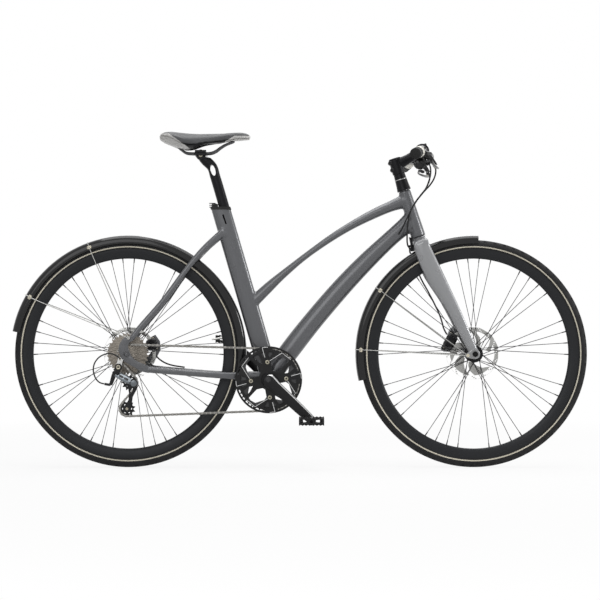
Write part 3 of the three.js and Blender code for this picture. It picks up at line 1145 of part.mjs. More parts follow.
function lowerKnuckleSolid() {
  const body = rod(cagePivot.clone().setY(mechOuterY), cagePivot.clone().setY(cogY - cageSize.half - cageSize.plate - seat),
    13, 14);
  return cut(solid(body), [link.outerY, link.innerY].map((y) => linkPassage(y, 1)));
}
function cageSolid() {
  const guide = [guideWheel.x, guideWheel.z];
  const tension = [tensionWheel.x, tensionWheel.z];
  const pivot = [cagePivot.x, cagePivot.z];
  const outline = (points, radius) => points.map(([x, z], i) => solid(rod(
    v(x, 0, z), v(points[(i + 1) % points.length][0], 0, points[(i + 1) % points.length][1]), radius, 8)));
  const makePlate = (y) => {
    const spine = [pivot, [lerp(pivot[0], tension[0], 0.5) + 4, lerp(pivot[1], tension[1], 0.5)], tension];
    const left = spine.map(([x, z], i) => [x - [16, 8, 11][i], z + [4, 0, 3][i]]);
    const right = spine.map(([x, z], i) => [x + [10, 6, 9][i], z + [2, 0, -3][i]]);
    const shape = [[pivot[0] - 6, pivot[1] + 12], ...right.slice(0, 1), ...right.slice(1),
      [tension[0] + 3, tension[1] - 10], [tension[0] - 8, tension[1] - 8], ...left.slice(1).reverse(),
      [guide[0] - 8, guide[1]], [guide[0] - 5, guide[1] + 9]];
    return solid(plate(v(0, 0, 0), shape, y - cageSize.plate / 2, y + cageSize.plate / 2));
  };
  const outer = makePlate(cogY - cageSize.half - cageSize.plate / 2);
  const inner = makePlate(cogY + cageSize.half + cageSize.plate / 2);
  const pins = [guide, tension].map(([x, z]) => solid(rod(
    v(x, cogY - cageSize.half - 1, z), v(x, cogY + cageSize.half + 1, z), cageSize.pin, 8)));
  return joined([outer, inner, ...pins]);
}
function pulleySolid(wheel) {
  const disc = solid(plate(v(wheel.x, 0, wheel.z), sprocketOutline(pulleyTeeth, pinPhase(wheel), wheel),
    cogY - cog.thickness / 2, cogY + cog.thickness / 2));
  const core = solid(rod(v(wheel.x, cogY - cageSize.half + seat, wheel.z), v(wheel.x, cogY + cageSize.half - seat, wheel.z),
    8, 8));
  const bore = solid(rod(v(wheel.x, cogY - 20, wheel.z), v(wheel.x, cogY + 20, wheel.z), cageSize.pin + seat, 8));
  return cut(joined([disc, core]), [bore]);
}

// Mudguards: a thin channel over each tyre, on wire stays that clip to its crown
const mudguard = { radius: tyreRadius + 14, half: 23, skin: 2, facet: degToRad(12), boss: 6 };
mudguard.rear = [degToRad(-14), degToRad(169)];
mudguard.front = [degToRad(87.7), degToRad(193.3)];
mudguard.rearClips = [degToRad(110), degToRad(150)];
mudguard.frontClips = [degToRad(146), degToRad(178)];
// Its crown is faceted, so the radius there dips a little between stations
function mudguardCrown([from, to], angle) {
  const step = (to - from) / Math.round((to - from) / mudguard.facet);
  const place = (((angle - from) / step) % 1) - 0.5;
  return (mudguard.radius * Math.cos(step / 2)) / Math.cos(place * step);
}
const mudguardProfileShares = [[-25, 1.02], [-9, 0.97], [0, 0.4]];
function mudguardGeometry(centre, [fromAngle, toAngle]) {
  const steps = Math.round((toAngle - fromAngle) / mudguard.facet);
  const outer = mudguardProfileShares.map(([drop, w]) => [mudguard.radius + drop, mudguard.half * w]);
  const inner = outer.map(([r, y]) => [r - mudguard.skin * 0.8, y - mudguard.skin * 0.9]);
  const half = [...outer];
  const section = [...half, ...half.map(([r, y]) => [r, -y]).reverse(),
    ...inner.map(([r, y]) => [r, -y]), ...[...inner].reverse()];
  return loft(Array.from({ length: steps + 1 }, (_, i) => {
    const angle = lerp(fromAngle, toAngle, i / steps);
    return section.map(([r, y]) => v(centre.x + r * Math.cos(angle), y, centre.z + r * Math.sin(angle)));
  }));
}
const wire = { radius: 1.6, out: 2.6, clipWidth: 13, clipHeight: 9, clipDrop: 16, eyeRadius: 5, eyeHalf: 3.4 };
function staySolid(centre, eyelet, seatY, clipAngles, reach) {
  const eyeletY = seatY + seat + wire.eyeHalf;
  const pieces = [];
  clipAngles.forEach((angle) => {
    const place = (r, y, push = 0) => v(centre.x + r * Math.cos(angle) - push * Math.sin(angle), y,
      centre.z + r * Math.sin(angle) + push * Math.cos(angle));
    const foot = (side) => v(centre.x + eyelet[0], side * eyeletY, centre.z + eyelet[1]);
    const clipInner = mudguard.half + 1.5 * seat;
    const edge = clipInner + wire.out;
    const crown = mudguardCrown(reach, angle) + wire.radius + seat;
    const route = (side) => [foot(side), place(mudguard.radius - 20, side * edge),
      place(mudguard.radius - 6, side * edge), place(crown, side * (edge - 7))];
    const points = [...route(-1), ...route(1).reverse()];
    const level = v(-Math.sin(angle), 0, Math.cos(angle));
    pieces.push(solid(loft(points.map((p, i) => {
      const along = points[Math.min(i + 1, points.length - 1)].clone().sub(points[Math.max(i - 1, 0)]).normalize();
      return ring(p, level, along.cross(level).normalize(), wire.radius, wire.radius, 5);
    }))));
    for (const side of [-1, 1]) {
      const clip = new THREE.BoxGeometry(wire.clipWidth, 2 * wire.out, wire.clipHeight);
      clip.rotateY(quarterTurn - angle);
      const c = place(mudguard.radius - wire.clipDrop, side * edge);
      pieces.push(solid(clip.translate(c.x, c.y, c.z)));
    }
  });
  for (const side of [-1, 1]) {
    pieces.push(solid(rod(v(centre.x + eyelet[0], side * (eyeletY - wire.eyeHalf), centre.z + eyelet[1]),
      v(centre.x + eyelet[0], side * (eyeletY + wire.eyeHalf), centre.z + eyelet[1]), wire.eyeRadius, 8)));
  }
  return joined(pieces);
}

// Disc calipers: two halves over the rotor, on a bracket
function caliperSolid(centre, rotorY, { angle, radius, reach }) {
  const cx = centre.x + radius * Math.cos(angle);
  const cz = centre.z + radius * Math.sin(angle);
  const outward = v(Math.cos(angle), 0, Math.sin(angle));
  const along = v(-Math.sin(angle), 0, Math.cos(angle));
  const lobes = loft([-0.5, -0.3, 0.3, 0.5].map((share, i) => ring(
    v(cx, rotorY, cz).addScaledVector(along, share * reach), sideways, outward,
    i % 3 ? caliper.half : caliper.endHalf, i % 3 ? caliper.depthHalf : caliper.endDepth, 10, 3)));
  const slot = plate(v(centre.x, 0, centre.z), circle(rotorSize.outer + 10 * seat, 24),
    rotorY - caliper.slotHalf, rotorY + caliper.slotHalf);
  const foot = loft([-0.62, 0.62].map((share) => ring(
    v(cx, rotorY + caliper.half - caliper.footHalf, cz).addScaledVector(along, share * reach)
      .addScaledVector(outward, caliper.depthHalf / 2),
    sideways, outward, caliper.footHalf, caliper.footDepth, 8, 3)));
  return cut(joined([solid(lobes), solid(foot)]), [solid(slot)]);
}

// Hoses and cable, routes chosen by hand
const hoseRadius = 2.4;
const cableRadius = 2.1;
const frontHoseRoute = [
  v(391.3, -93.4, 928.6), v(391.6, -85, 928.2), v(396, -74, 921), v(403, -66, 907), v(406, -62, 890),
  v(402, -60, 871), v(392, -58, 853), v(370, -53, 828), v(346, -44, 798), v(330, -37, 765), v(324, -34, 731),
  v(322, -31, 700), v(324, -18, 672), v(331, 4, 661), v(334, 24, 649), v(343, 32, 631), v(354, 36, 606),
  v(366, 38, 574), v(390, 42, 530), v(412, 46, 488), v(427, 48, 455), v(433, 48, 436), v(438, 47, 418),
  v(447.3, 46, 399.8)];
const rearHoseRoute = [
  v(391.3, 93.4, 928.6), v(391.6, 85, 928.2), v(395.5, 74, 920.5), v(399, 66, 905), v(398, 62, 886), v(392, 60, 864),
  v(382, 57, 842), v(362, 52, 816), v(340, 44, 788), v(322, 35, 756), v(310, 28.5, 728), v(300, 24, 708)];
const shiftCableRoute = [
  v(372, -114, 900), v(386, -92, 872), v(380, -74, 846), v(356, -58, 812), v(334, -46, 776), v(318, -36, 744),
  v(306, -28, 718), v(297, -23.6, 702)];
const derailleurCableRoute = [
  v(-535, -81.2, 329), v(-546, -82.5, 338), v(-564, -86, 345), v(-587, -88, 341), v(-606, -89, 326),
  v(-615, -89, 304), v(-613, -88, 283), v(-606, -87, 268), v(-596, -86, 259), v(-583.9, -85, 255.2)];
const caliperHoseRoute = [
  v(-352, 61, 299.7), v(-368, 61, 302), v(-386, 60.5, 305), v(-404, 60, 310), v(-420, 60, 318),
  v(-435, 60, 330), v(-444, 60, 342), v(-448.6, 60, 352.1)];

add('front_tyre', tyreGeometry(frontAxle), 'rubber');
add('rear_tyre', tyreGeometry(rearAxle), 'rubber');
add('front_rim', rimGeometry(frontAxle), 'rim');
add('rear_rim', rimGeometry(rearAxle), 'rim');
addSolid('front_hub_and_spokes', hubSolid(frontAxle, frontHub), 'blackAlloy');
addSolid('rear_hub_and_spokes', hubSolid(rearAxle, rearHub), 'blackAlloy');
add('front_rotor', rotorGeometry(frontAxle, frontHub.rotorY), 'steel');
add('rear_rotor', rotorGeometry(rearAxle, rearHub.rotorY), 'steel');
add('front_axle', axleGeometry(frontAxle, frontHubWidth, 14), 'blackAlloy');
add('rear_axle', axleGeometry(rearAxle, rearHubWidth, dropoutPlate.thickness), 'blackAlloy');
addSolid('cassette', cassetteSolid(), 'cogSteel');
addSolid('chain', chainSolid(), 'steel');
add('chainring', chainringGeometry(), 'steel');
addSolid('chain_guard', guardSolid(), 'black');
addSolid('right_crank', rightCrankSolid(), 'blackAlloy');
addSolid('left_crank', leftCrankSolid(), 'blackAlloy');
add('bottom_bracket', cartridgeGeometry(), 'blackAlloy');
addSolid('right_pedal', pedalSolid(-1), 'black');
addSolid('left_pedal', pedalSolid(1), 'black');
addSolid('frame', frameSolid(), 'frameGrey');
addSolid('seat_collar', collarSolid(), 'blackAlloy');
addSolid('seatpost', seatpostSolid(), 'blackAlloy');
const [clampLower, clampUpper] = clampSolids();
addSolid('saddle_clamp_lower', clampLower, 'blackAlloy');
addSolid('saddle_clamp_upper', clampUpper, 'blackAlloy');
add('saddle_rails', railsGeometry(railRadius), 'blackAlloy');
addSolid('saddle_shell', saddleShellSolid(), 'silver');
add('saddle_cushion', cushionGeometry(), 'saddle');
addSolid('fork', forkSolid(), 'forkSilver');
addSolid('headset_cone', coneSolid(), 'blackAlloy');
const [stemBody, stemFace] = stemSolids();
addSolid('stem', stemBody, 'blackAlloy');
addSolid('stem_faceplate', stemFace, 'blackAlloy');
add('handlebar', handlebarGeometry(), 'blackAlloy');
addSolid('right_grip', gripSolid(-1), 'rubber');
addSolid('left_grip', gripSolid(1), 'rubber');
addSolid('right_brake_perch', perchSolid(-1), 'blackAlloy');
addSolid('left_brake_perch', perchSolid(1), 'blackAlloy');
add('right_brake_blade', bladeGeometry(-1), 'blackAlloy');
add('left_brake_blade', bladeGeometry(1), 'blackAlloy');
addSolid('shifter', shifterSolid(), 'black');
add('shifter_thumb_lever', paddleGeometry(6, 34, -6, 7), 'black');
add('shifter_release_trigger', triggerGeometry(), 'black');
addSolid('derailleur_hanger', hangerSolid(), 'silver');
addSolid('derailleur_knuckle', knuckleSolid(), 'blackAlloy');
addSolid('derailleur_outer_link', linkSolid(link.outerY), 'silver');
addSolid('derailleur_inner_link', linkSolid(link.innerY), 'blackAlloy');
addSolid('derailleur_lower_knuckle', lowerKnuckleSolid(), 'blackAlloy');
addSolid('derailleur_cage', cageSolid(), 'blackAlloy');
addSolid('guide_pulley', pulleySolid(guideWheel), 'black');
addSolid('tension_pulley', pulleySolid(tensionWheel), 'black');
add('rear_mudguard', mudguardGeometry(rearAxle, mudguard.rear), 'black');
add('front_mudguard', mudguardGeometry(frontAxle, mudguard.front), 'black');
addSolid('rear_mudguard_stays', staySolid(rearAxle, [dropoutPlate.eyeletX, dropoutPlate.eyeletZ],
  dropoutY + dropoutPlate.thickness / 2, mudguard.rearClips, mudguard.rear), 'steel');
addSolid('front_mudguard_stays', staySolid(frontAxle, fork.eyelet, fork.tipHalf + fork.tipThick / 2,
  mudguard.frontClips, mudguard.front), 'steel');
addSolid('rear_caliper', caliperSolid(rearAxle, rearHub.rotorY, caliperRear), 'black');
addSolid('front_caliper', caliperSolid(frontAxle, frontHub.rotorY, caliperFront), 'black');
add('front_brake_hose', bar(frontHoseRoute, hoseRadius, 5, 24), 'black');
add('rear_brake_hose_front', bar(rearHoseRoute, hoseRadius, 5, 12), 'black');
add('shift_cable_front', bar(shiftCableRoute, cableRadius, 5, 12), 'black');
add('shift_cable_rear', bar(derailleurCableRoute, cableRadius, 5, 16), 'black');
add('rear_brake_hose_rear', bar(caliperHoseRoute, hoseRadius, 5, 5), 'black');

export default bike;
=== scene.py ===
import math
import bpy
import bmesh
from mathutils import Matrix, Vector


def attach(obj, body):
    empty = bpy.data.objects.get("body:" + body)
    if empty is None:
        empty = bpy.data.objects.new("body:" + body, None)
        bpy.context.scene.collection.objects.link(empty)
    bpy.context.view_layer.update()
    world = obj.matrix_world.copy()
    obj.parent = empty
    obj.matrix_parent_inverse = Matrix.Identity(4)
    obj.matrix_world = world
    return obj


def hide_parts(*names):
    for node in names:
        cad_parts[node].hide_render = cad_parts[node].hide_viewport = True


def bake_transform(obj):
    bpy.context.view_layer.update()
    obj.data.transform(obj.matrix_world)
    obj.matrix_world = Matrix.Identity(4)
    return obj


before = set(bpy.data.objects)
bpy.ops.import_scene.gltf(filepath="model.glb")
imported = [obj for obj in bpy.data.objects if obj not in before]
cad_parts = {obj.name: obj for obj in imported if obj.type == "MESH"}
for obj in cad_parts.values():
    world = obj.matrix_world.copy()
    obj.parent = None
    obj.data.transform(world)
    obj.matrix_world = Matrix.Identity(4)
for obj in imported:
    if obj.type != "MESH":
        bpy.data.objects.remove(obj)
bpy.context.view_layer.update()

# Camera, lamps, floor and white surround
# The photograph is a long-lens side view from the drive side, from a little above the height of the hubs.
# Soft studio light comes mostly from above, with weaker lamps ahead, on the camera's side and behind.
camera_distance = 6.0
view_width = 1.8132
bpy.ops.object.camera_add(location=(0, -camera_distance, 0.505), rotation=(math.pi / 2, 0, 0))
camera = bpy.context.object
camera.name = "camera"
camera.data.lens = camera.data.sensor_width * camera_distance / view_width
bpy.context.scene.camera = camera

for lamp_name, place, turn, size, power in (
        ("overhead_softbox", (0, 0, 3.4), (0, 0, 0), 3.0, 96),
        ("camera_side_softbox", (-1.6, -4.2, 2.3), (64, 0, -21), 2.6, 38),
        ("front_side_softbox", (4.0, -0.7, 1.5), (76, 0, 80), 1.1, 62),
        ("far_side_softbox", (0.6, 4.6, 2.4), (-64, 0, 6), 2.6, 34)):
    bpy.ops.object.light_add(type="AREA", location=place, rotation=[math.radians(a) for a in turn])
    lamp = bpy.context.object
    lamp.name = lamp_name
    lamp.data.shape = "SQUARE"
    lamp.data.size = size
    lamp.data.energy = power


def colour(code):
    """Turns an sRGB hex colour into Blender's linear one."""
    parts = [int(code[i:i + 2], 16) / 255 for i in (1, 3, 5)]
    return (*[c / 12.92 if c <= 0.04045 else ((c + 0.055) / 1.055) ** 2.4 for c in parts], 1.0)


def add_node(tree, kind, links=None, **settings):
    """Adds a node, sets its properties, and gives its sockets values or joins them."""
    made = tree.nodes.new(kind)
    for key, value in settings.items():
        setattr(made, key, value)
    for key, value in (links or {}).items():
        if isinstance(value, bpy.types.NodeSocket):
            tree.links.new(value, made.inputs[key])
        else:
            made.inputs[key].default_value = value
    return made


def white_rays(tree):
    """Picks the rays that find plain white: the camera's own, and those by way of gloss or glass."""
    rays = add_node(tree, "ShaderNodeLightPath")
    clear = add_node(tree, "ShaderNodeMath", {
        0: rays.outputs["Is Glossy Ray"], 1: rays.outputs["Is Transmission Ray"]}, operation="MAXIMUM")
    return add_node(tree, "ShaderNodeMath", {
        0: rays.outputs["Is Camera Ray"], 1: clear.outputs[0]}, operation="MAXIMUM").outputs[0]


white = colour("#ffffff")
world = bpy.context.scene.world or bpy.data.worlds.new("surround")
bpy.context.scene.world = world
world.use_nodes = True
tree = world.node_tree
tree.nodes.clear()
# The surround lights the bicycle weakly, and the camera sees it as plain white
lit = add_node(tree, "ShaderNodeBackground", {"Color": white, "Strength": 0.14})
shown = add_node(tree, "ShaderNodeBackground", {"Color": white, "Strength": 1.0})
mixed = add_node(tree, "ShaderNodeMixShader", {0: white_rays(tree), 1: lit.outputs[0], 2: shown.outputs[0]})
add_node(tree, "ShaderNodeOutputWorld", {"Surface": mixed.outputs[0]})

bpy.ops.mesh.primitive_plane_add(size=60)
floor = bpy.context.object
floor.name = "floor"
floor_paint = bpy.data.materials.new("white_studio_floor")
floor_paint.use_nodes = True
tree = floor_paint.node_tree
tree.nodes.clear()
# The floor keeps the shadow near the bicycle and runs into the white behind it further off
place = add_node(tree, "ShaderNodeTexCoord")
away = add_node(tree, "ShaderNodeVectorMath", {0: place.outputs["Object"]}, operation="LENGTH")
fade = add_node(tree, "ShaderNodeMapRange", {
    "Value": away.outputs["Value"], "From Min": 1.1, "From Max": 2.6, "To Min": 0.86, "To Max": 1.0})
share = add_node(tree, "ShaderNodeMath", {0: white_rays(tree), 1: fade.outputs["Result"]},
                 operation="MULTIPLY")
matt = add_node(tree, "ShaderNodeBsdfDiffuse", {"Color": colour("#f2f2f2")})
glow = add_node(tree, "ShaderNodeEmission", {"Color": white, "Strength": 1.0})
mixed = add_node(tree, "ShaderNodeMixShader", {0: share.outputs[0], 1: matt.outputs[0], 2: glow.outputs[0]})
add_node(tree, "ShaderNodeOutputMaterial", {"Surface": mixed.outputs[0]})
floor.data.materials.append(floor_paint)
bpy.context.scene.view_settings.view_transform = "Standard"


# Hoses and cables
# Two hydraulic brake hoses and a shift cable in its housing, black nylon over a steel or aramid liner.
# Each leaves its lever or the frame in its own line and is pushed into its port or ferrule at the far end.
def surface(name, low, high, grain, metallic, rough, bump=0.0, coat=0.0):
    """A finish that runs from low to high colour in grains of so many millimetres, with broad soft
    blotches of roughness, and a bump of so many millimetres on the grain."""
    made = bpy.data.materials.new(name)
    made.use_nodes = True
    tree = made.node_tree
    shader = tree.nodes["Principled BSDF"]
    # Real flake, weave and machining marks are too fine to show, so every grain is drawn coarser
    place = add_node(tree, "ShaderNodeTexCoord").outputs["Object"]
    fine = add_node(tree, "ShaderNodeTexNoise", {
        "Vector": place, "Scale": 1000 / grain, "Detail": 3.0, "Roughness": 0.6})
    blotch = 60.0
    broad = add_node(tree, "ShaderNodeTexNoise", {"Vector": place, "Scale": 1000 / blotch, "Detail": 2.0})
    tint = add_node(tree, "ShaderNodeMix", {
        "Factor": fine.outputs["Fac"], "A": colour(low), "B": colour(high)}, data_type="RGBA")
    gloss = add_node(tree, "ShaderNodeMapRange", {
        "Value": broad.outputs["Fac"], "From Min": 0.3, "From Max": 0.7,
        "To Min": rough[0], "To Max": rough[1]})
    tree.links.new(tint.outputs["Result"], shader.inputs["Base Color"])
    tree.links.new(gloss.outputs["Result"], shader.inputs["Roughness"])
    shader.inputs["Metallic"].default_value = metallic
    # A dark surface keeps to its body colour before the white surround
    dark = colour(high)[0] < 0.05
    shader.inputs["Specular IOR Level"].default_value = 0.22 if dark else 0.5
    shader.inputs["Coat Weight"].default_value = coat * (0.35 if dark else 1)
    shader.inputs["Coat Roughness"].default_value = 0.08
    if metallic < 0.5:
        shader.inputs["IOR"].default_value = 1.5
    if bump:
        relief = add_node(tree, "ShaderNodeBump", {
            "Height": fine.outputs["Fac"], "Strength": 0.6, "Distance": bump / 1000})
        tree.links.new(relief.outputs["Normal"], shader.inputs["Normal"])
    return made


def route_curve(name, points, radius, sides=4, steps=12):
    """A round tube along a smooth curve through its points, in metres."""
    data = bpy.data.curves.new(name, "CURVE")
    data.dimensions = "3D"
    data.bevel_depth = radius
    data.bevel_resolution = sides
    data.resolution_u = steps
    data.use_fill_caps = True
    spline = data.splines.new("BEZIER")
    spline.bezier_points.add(len(points) - 1)
    for knot, point in zip(spline.bezier_points, points):
        knot.co = point
        knot.handle_left_type = knot.handle_right_type = "AUTO"
    made = bpy.data.objects.new(name, data)
    bpy.context.collection.objects.link(made)
    return made


def pick(*pieces):
    """Leaves edit mode and selects these pieces alone, with the first of them active."""
    if bpy.context.object and bpy.context.object.mode != "OBJECT":
        bpy.ops.object.mode_set(mode="OBJECT")
    bpy.ops.object.select_all(action="DESELECT")
    for piece in pieces:
        piece.select_set(True)
    if pieces:
        bpy.context.view_layer.objects.active = pieces[0]


def to_mesh(curve):
    """Turns a curve into the mesh that it draws."""
    pick(curve)
    bpy.ops.object.convert(target="MESH")
    return bpy.context.object


# Extruded nylon: a soft, slightly broken highlight along the hose, its draw lines coarsened to 0.8 mm
nylon_jacket = surface("extruded_nylon_jacket", "#161617", "#232324", 0.8, 0.0, (0.34, 0.46), 0.01)
hose_diameter = 0.0048
cable_diameter = 0.0042
hose_routes = {
    "front_brake_hose": (hose_diameter, 0.64, "steering", [
        (391.3, -93.4, 928.6), (391.6, -85, 928.2), (396, -74, 921), (403, -66, 907), (406, -62, 890),
        (402, -60, 871), (392, -58, 853), (370, -53, 828), (346, -44, 798), (330, -37, 765), (324, -34, 731),
        (322, -31, 700), (324, -18, 672), (331, 4, 661), (334, 24, 649), (343, 32, 631), (354, 36, 606),
        (366, 38, 574), (390, 42, 530), (412, 46, 488), (427, 48, 455), (433, 48, 436), (438, 47, 418),
        (447.3, 46, 399.8)]),
    "rear_brake_hose_front": (hose_diameter, 0.272, "blend", [
        (391.3, 93.4, 928.6), (391.6, 85, 928.2), (395.5, 74, 920.5), (399, 66, 905), (398, 62, 886),
        (392, 60, 864), (382, 57, 842), (362, 52, 816), (340, 44, 788), (322, 35, 756), (310, 28.5, 728),
        (300, 24, 708)]),
    "shift_cable_front": (cable_diameter, 0.25, "blend", [
        (372, -114, 900), (386, -92, 872), (380, -74, 846), (356, -58, 812), (334, -46, 776),
        (318, -36, 744), (306, -28, 718), (297, -23.6, 702)]),
    "shift_cable_rear": (cable_diameter, 0.172, "frame", [
        (-535, -81.2, 329), (-546, -82.5, 338), (-564, -86, 345), (-587, -88, 341), (-606, -89, 326),
        (-615, -89, 304), (-613, -88, 283), (-606, -87, 268), (-596, -86, 259), (-583.9, -85, 255.2)]),
    "rear_brake_hose_rear": (hose_diameter, 0.117, "frame", [
        (-352, 61, 299.7), (-368, 61, 302), (-386, 60.5, 305), (-404, 60, 310), (-420, 60, 318),
        (-435, 60, 330), (-444, 60, 342), (-448.6, 60, 352.1)]),
}
for hose_name, (diameter, length, rides_on, points) in hose_routes.items():
    points = [Vector(point) / 1000 for point in points]
    hose = route_curve(hose_name + "_line", points, diameter / 2)
    hose.data.materials.append(nylon_jacket)
    if rides_on == "blend":
        # A blended hose is made a mesh in place, with its transform baked in
        steps = 12
        bpy.context.view_layer.update()
        hose = to_mesh(hose)
        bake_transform(hose)
    else:
        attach(hose, rides_on)
    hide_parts(hose_name)


# Frame
# Hydroformed aluminium tubes, welded, with the welds filed smooth, under a satin grey metallic lacquer.
# The tubes are skinned one by one, fused, and softened where they meet as a filed weld is.
rear_axle = Vector((-518, 0, 343))
bottom_bracket = Vector((-93.934, 0, 266))
head_top = Vector((315.066, 0, 835))
head_down = Vector((0.29404, 0, -0.955793))
head_forward = Vector((0.955793, 0, 0.29404))
seat_foot = Vector((-89.434, 0, 266))
seat_up = Vector((-0.278991, 0, 0.960294))
seat_forward = Vector((0.960294, 0, 0.278991))
left_axis = Vector((0, 1, 0))


def on_head(along, forward, left):
    """A place by its distances down the head tube from its top, ahead of its axis and to the left."""
    return head_top + head_down * along + head_forward * forward + left_axis * left


def on_seat_tube(along, forward, left):
    """A place by its distances up the seat tube from its foot, ahead of its axis and to the left."""
    return seat_foot + seat_up * along + seat_forward * forward + left_axis * left


def between(low, high, share):
    return low + (high - low) * share


def close_mesh():
    """Merges the doubles of the mesh in edit mode, turns its faces outwards and leaves edit mode."""
    bpy.ops.mesh.select_all(action="SELECT")
    bpy.ops.mesh.remove_doubles(threshold=1e-6)
    bpy.ops.mesh.normals_make_consistent(inside=False)
    bpy.ops.object.mode_set(mode="OBJECT")


def first_ring(name, points, fill):
    """A circle whose vertices are moved to the points, in millimetres, and left in edit mode."""
    pick()
    bpy.ops.mesh.primitive_circle_add(vertices=len(points), fill_type=fill)
    piece = bpy.context.object
    piece.name = name
    bpy.ops.object.mode_set(mode="EDIT")
    mesh = bmesh.from_edit_mesh(piece.data)
    for vertex, point in zip(mesh.verts, points):
        vertex.co = point / 1000
    bmesh.update_edit_mesh(piece.data)
    return piece


def skin(name, rings):
    """Extrudes a first ring through the others, in millimetres, with both ends closed."""
    piece = first_ring(name, rings[0], "NGON")
    for before, ring in zip(rings, rings[1:]):
        bpy.ops.mesh.extrude_region_move()
        mesh = bmesh.from_edit_mesh(piece.data)
        for vertex in [v for v in mesh.verts if v.select]:
            nearest = min(range(len(ring)), key=lambda i: (before[i] / 1000 - vertex.co).length_squared)
            vertex.co = ring[nearest] / 1000
        bmesh.update_edit_mesh(piece.data)
    bpy.ops.mesh.select_all(action="SELECT")
    bpy.ops.mesh.normals_make_consistent(inside=False)
    bpy.ops.object.mode_set(mode="OBJECT")
    return piece


def section(centre, across, up, half_across, half_up, count=24, power=2.0):
    """A ring about a centre: power 2 is an ellipse, more is squarer, and less draws a crease at the sides."""
    ring = []
    for i in range(count):
        angle = 2 * math.pi * i / count
        c, s = math.cos(angle), math.sin(angle)
        reach = (abs(c) ** power + abs(s) ** power) ** (-1 / power)
        ring.append(centre + across * (half_across * c * reach) + up * (half_up * s * reach))
    return ring


def spline_through(table, steps):
    """Catmull-Rom values between the rows of a table, with so many steps to each row."""
    rows = [table[0], *table, table[-1]]
    found = []
    for a, b, c, d in zip(rows, rows[1:], rows[2:], rows[3:]):
        for t in (k / steps for k in range(steps)):
            found.append([0.5 * (2 * q + (r - p) * t + (2 * p - 5 * q + 4 * r - s) * t * t
                                 + (3 * q - p - 3 * r + s) * t ** 3) for p, q, r, s in zip(a, b, c, d)])
    return found + [list(table[-1])]


def station_tube(name, stations, steps, count, power):
    """A tube through stations of x, y, z, depth and width, its rings square to the path in the side view."""
    rows = spline_through(stations, steps)
    rings = []
    for i, (x, y, z, depth, width) in enumerate(rows):
        along = (Vector(rows[min(i + 1, len(rows) - 1)][:3]) - Vector(rows[max(i - 1, 0)][:3])).normalized()
        up = along.cross(left_axis).normalized()
        across = up.cross(along).normalized()
        rings.append(section(Vector((x, y, z)), across, up, width / 2, depth / 2, count, power))
    return skin(name, rings)


def straight(name, low, high, radius, count=32, end_radius=None):
    """A rod or cone between two places, in millimetres."""
    pick()
    axis = high - low
    bpy.ops.mesh.primitive_cone_add(vertices=count, radius1=radius / 1000, depth=axis.length / 1000,
                                    radius2=(radius if end_radius is None else end_radius) / 1000)
    piece = bpy.context.object
    piece.name = name
    piece.matrix_world = (Matrix.Translation((low + high) / 2000)
                          @ axis.to_track_quat("Z", "Y").to_matrix().to_4x4())
    bpy.ops.object.transform_apply(location=True, rotation=True, scale=True)
    return piece


def turned(name, centre, profile, steps, axis=left_axis):
    """Spins a closed profile of radius and y about an axle through a centre, in millimetres."""
    across = Vector((1, 0, 0)) if abs(axis.y) > 0.9 else axis.orthogonal().normalized()
    piece = first_ring(name, [centre + across * radius + axis * y for radius, y in profile], "NOTHING")
    bpy.ops.mesh.select_all(action="SELECT")
    bpy.ops.mesh.spin(steps=steps, angle=2 * math.pi, center=centre / 1000, axis=axis)
    close_mesh()
    return piece


def plate(name, centre, outlines, y_low, y_high, bevel=0.3, rounds=1):
    """A plate in the side view between two y planes, filled between its outlines, with eased edges."""
    data = bpy.data.curves.new(name, "CURVE")
    data.dimensions = "2D"
    data.fill_mode = "BOTH"
    data.extrude = abs(y_high - y_low) / 2 - bevel
    data.bevel_depth = bevel
    data.offset = -bevel
    data.bevel_resolution = rounds
    for outline in outlines:
        spline = data.splines.new("POLY")
        spline.points.add(len(outline) - 1)
        for knot, (x, z) in zip(spline.points, outline):
            knot.co = (x, z, 0, 1)
        spline.use_cyclic_u = True
    piece = bpy.data.objects.new(name, data)
    bpy.context.collection.objects.link(piece)
    piece = to_mesh(piece)
    # The fill merges points that are too near, so it is done in millimetres and then shrunk
    piece.rotation_euler = (math.pi / 2, 0, 0)
    piece.scale = (0.001, 0.001, 0.001)
    piece.location = (centre + left_axis * (y_low + y_high) / 2) / 1000
    bpy.ops.object.transform_apply(location=True, rotation=True, scale=True)
    bpy.ops.object.mode_set(mode="EDIT")
    close_mesh()
    return piece


def join(name, *parts):
    """Makes the parts one piece, which keeps the material of each."""
    pick(*parts)
    if len(parts) > 1:
        bpy.ops.object.join()
    parts[0].name = name
    return parts[0]


def smooth(piece, angle=40):
    pick(piece)
    bpy.ops.object.shade_smooth_by_angle(angle=math.radians(angle))
    return piece


def coat(piece, material, angle=None):
    """Gives a piece its material and, where an angle is named, smooth shading up to that angle."""
    piece.data.materials.clear()
    piece.data.materials.append(material)
    return smooth(piece, angle) if angle else piece


def apply(piece, kind, **settings):
    """Adds a modifier with its settings and applies it."""
    pick(piece)
    made = piece.modifiers.new("step", kind)
    for key, value in settings.items():
        setattr(made, key, value)
    bpy.ops.object.modifier_apply(modifier=made.name)
    return piece


def fuse(piece, voxel, rounds):
    """Melts the joined parts into one skin with a fillet where they meet."""
    apply(piece, "REMESH", mode="VOXEL", voxel_size=voxel / 1000)
    # Rounds inwards and back outwards even out the voxel steps and leave the tubes as thick as they were
    for factor, times in [(0.5, rounds)] + [(0.6, 2), (-0.63, 2)] * (rounds // 2):
        apply(piece, "SMOOTH", factor=factor, iterations=times)
    bpy.ops.object.shade_smooth()
    return piece


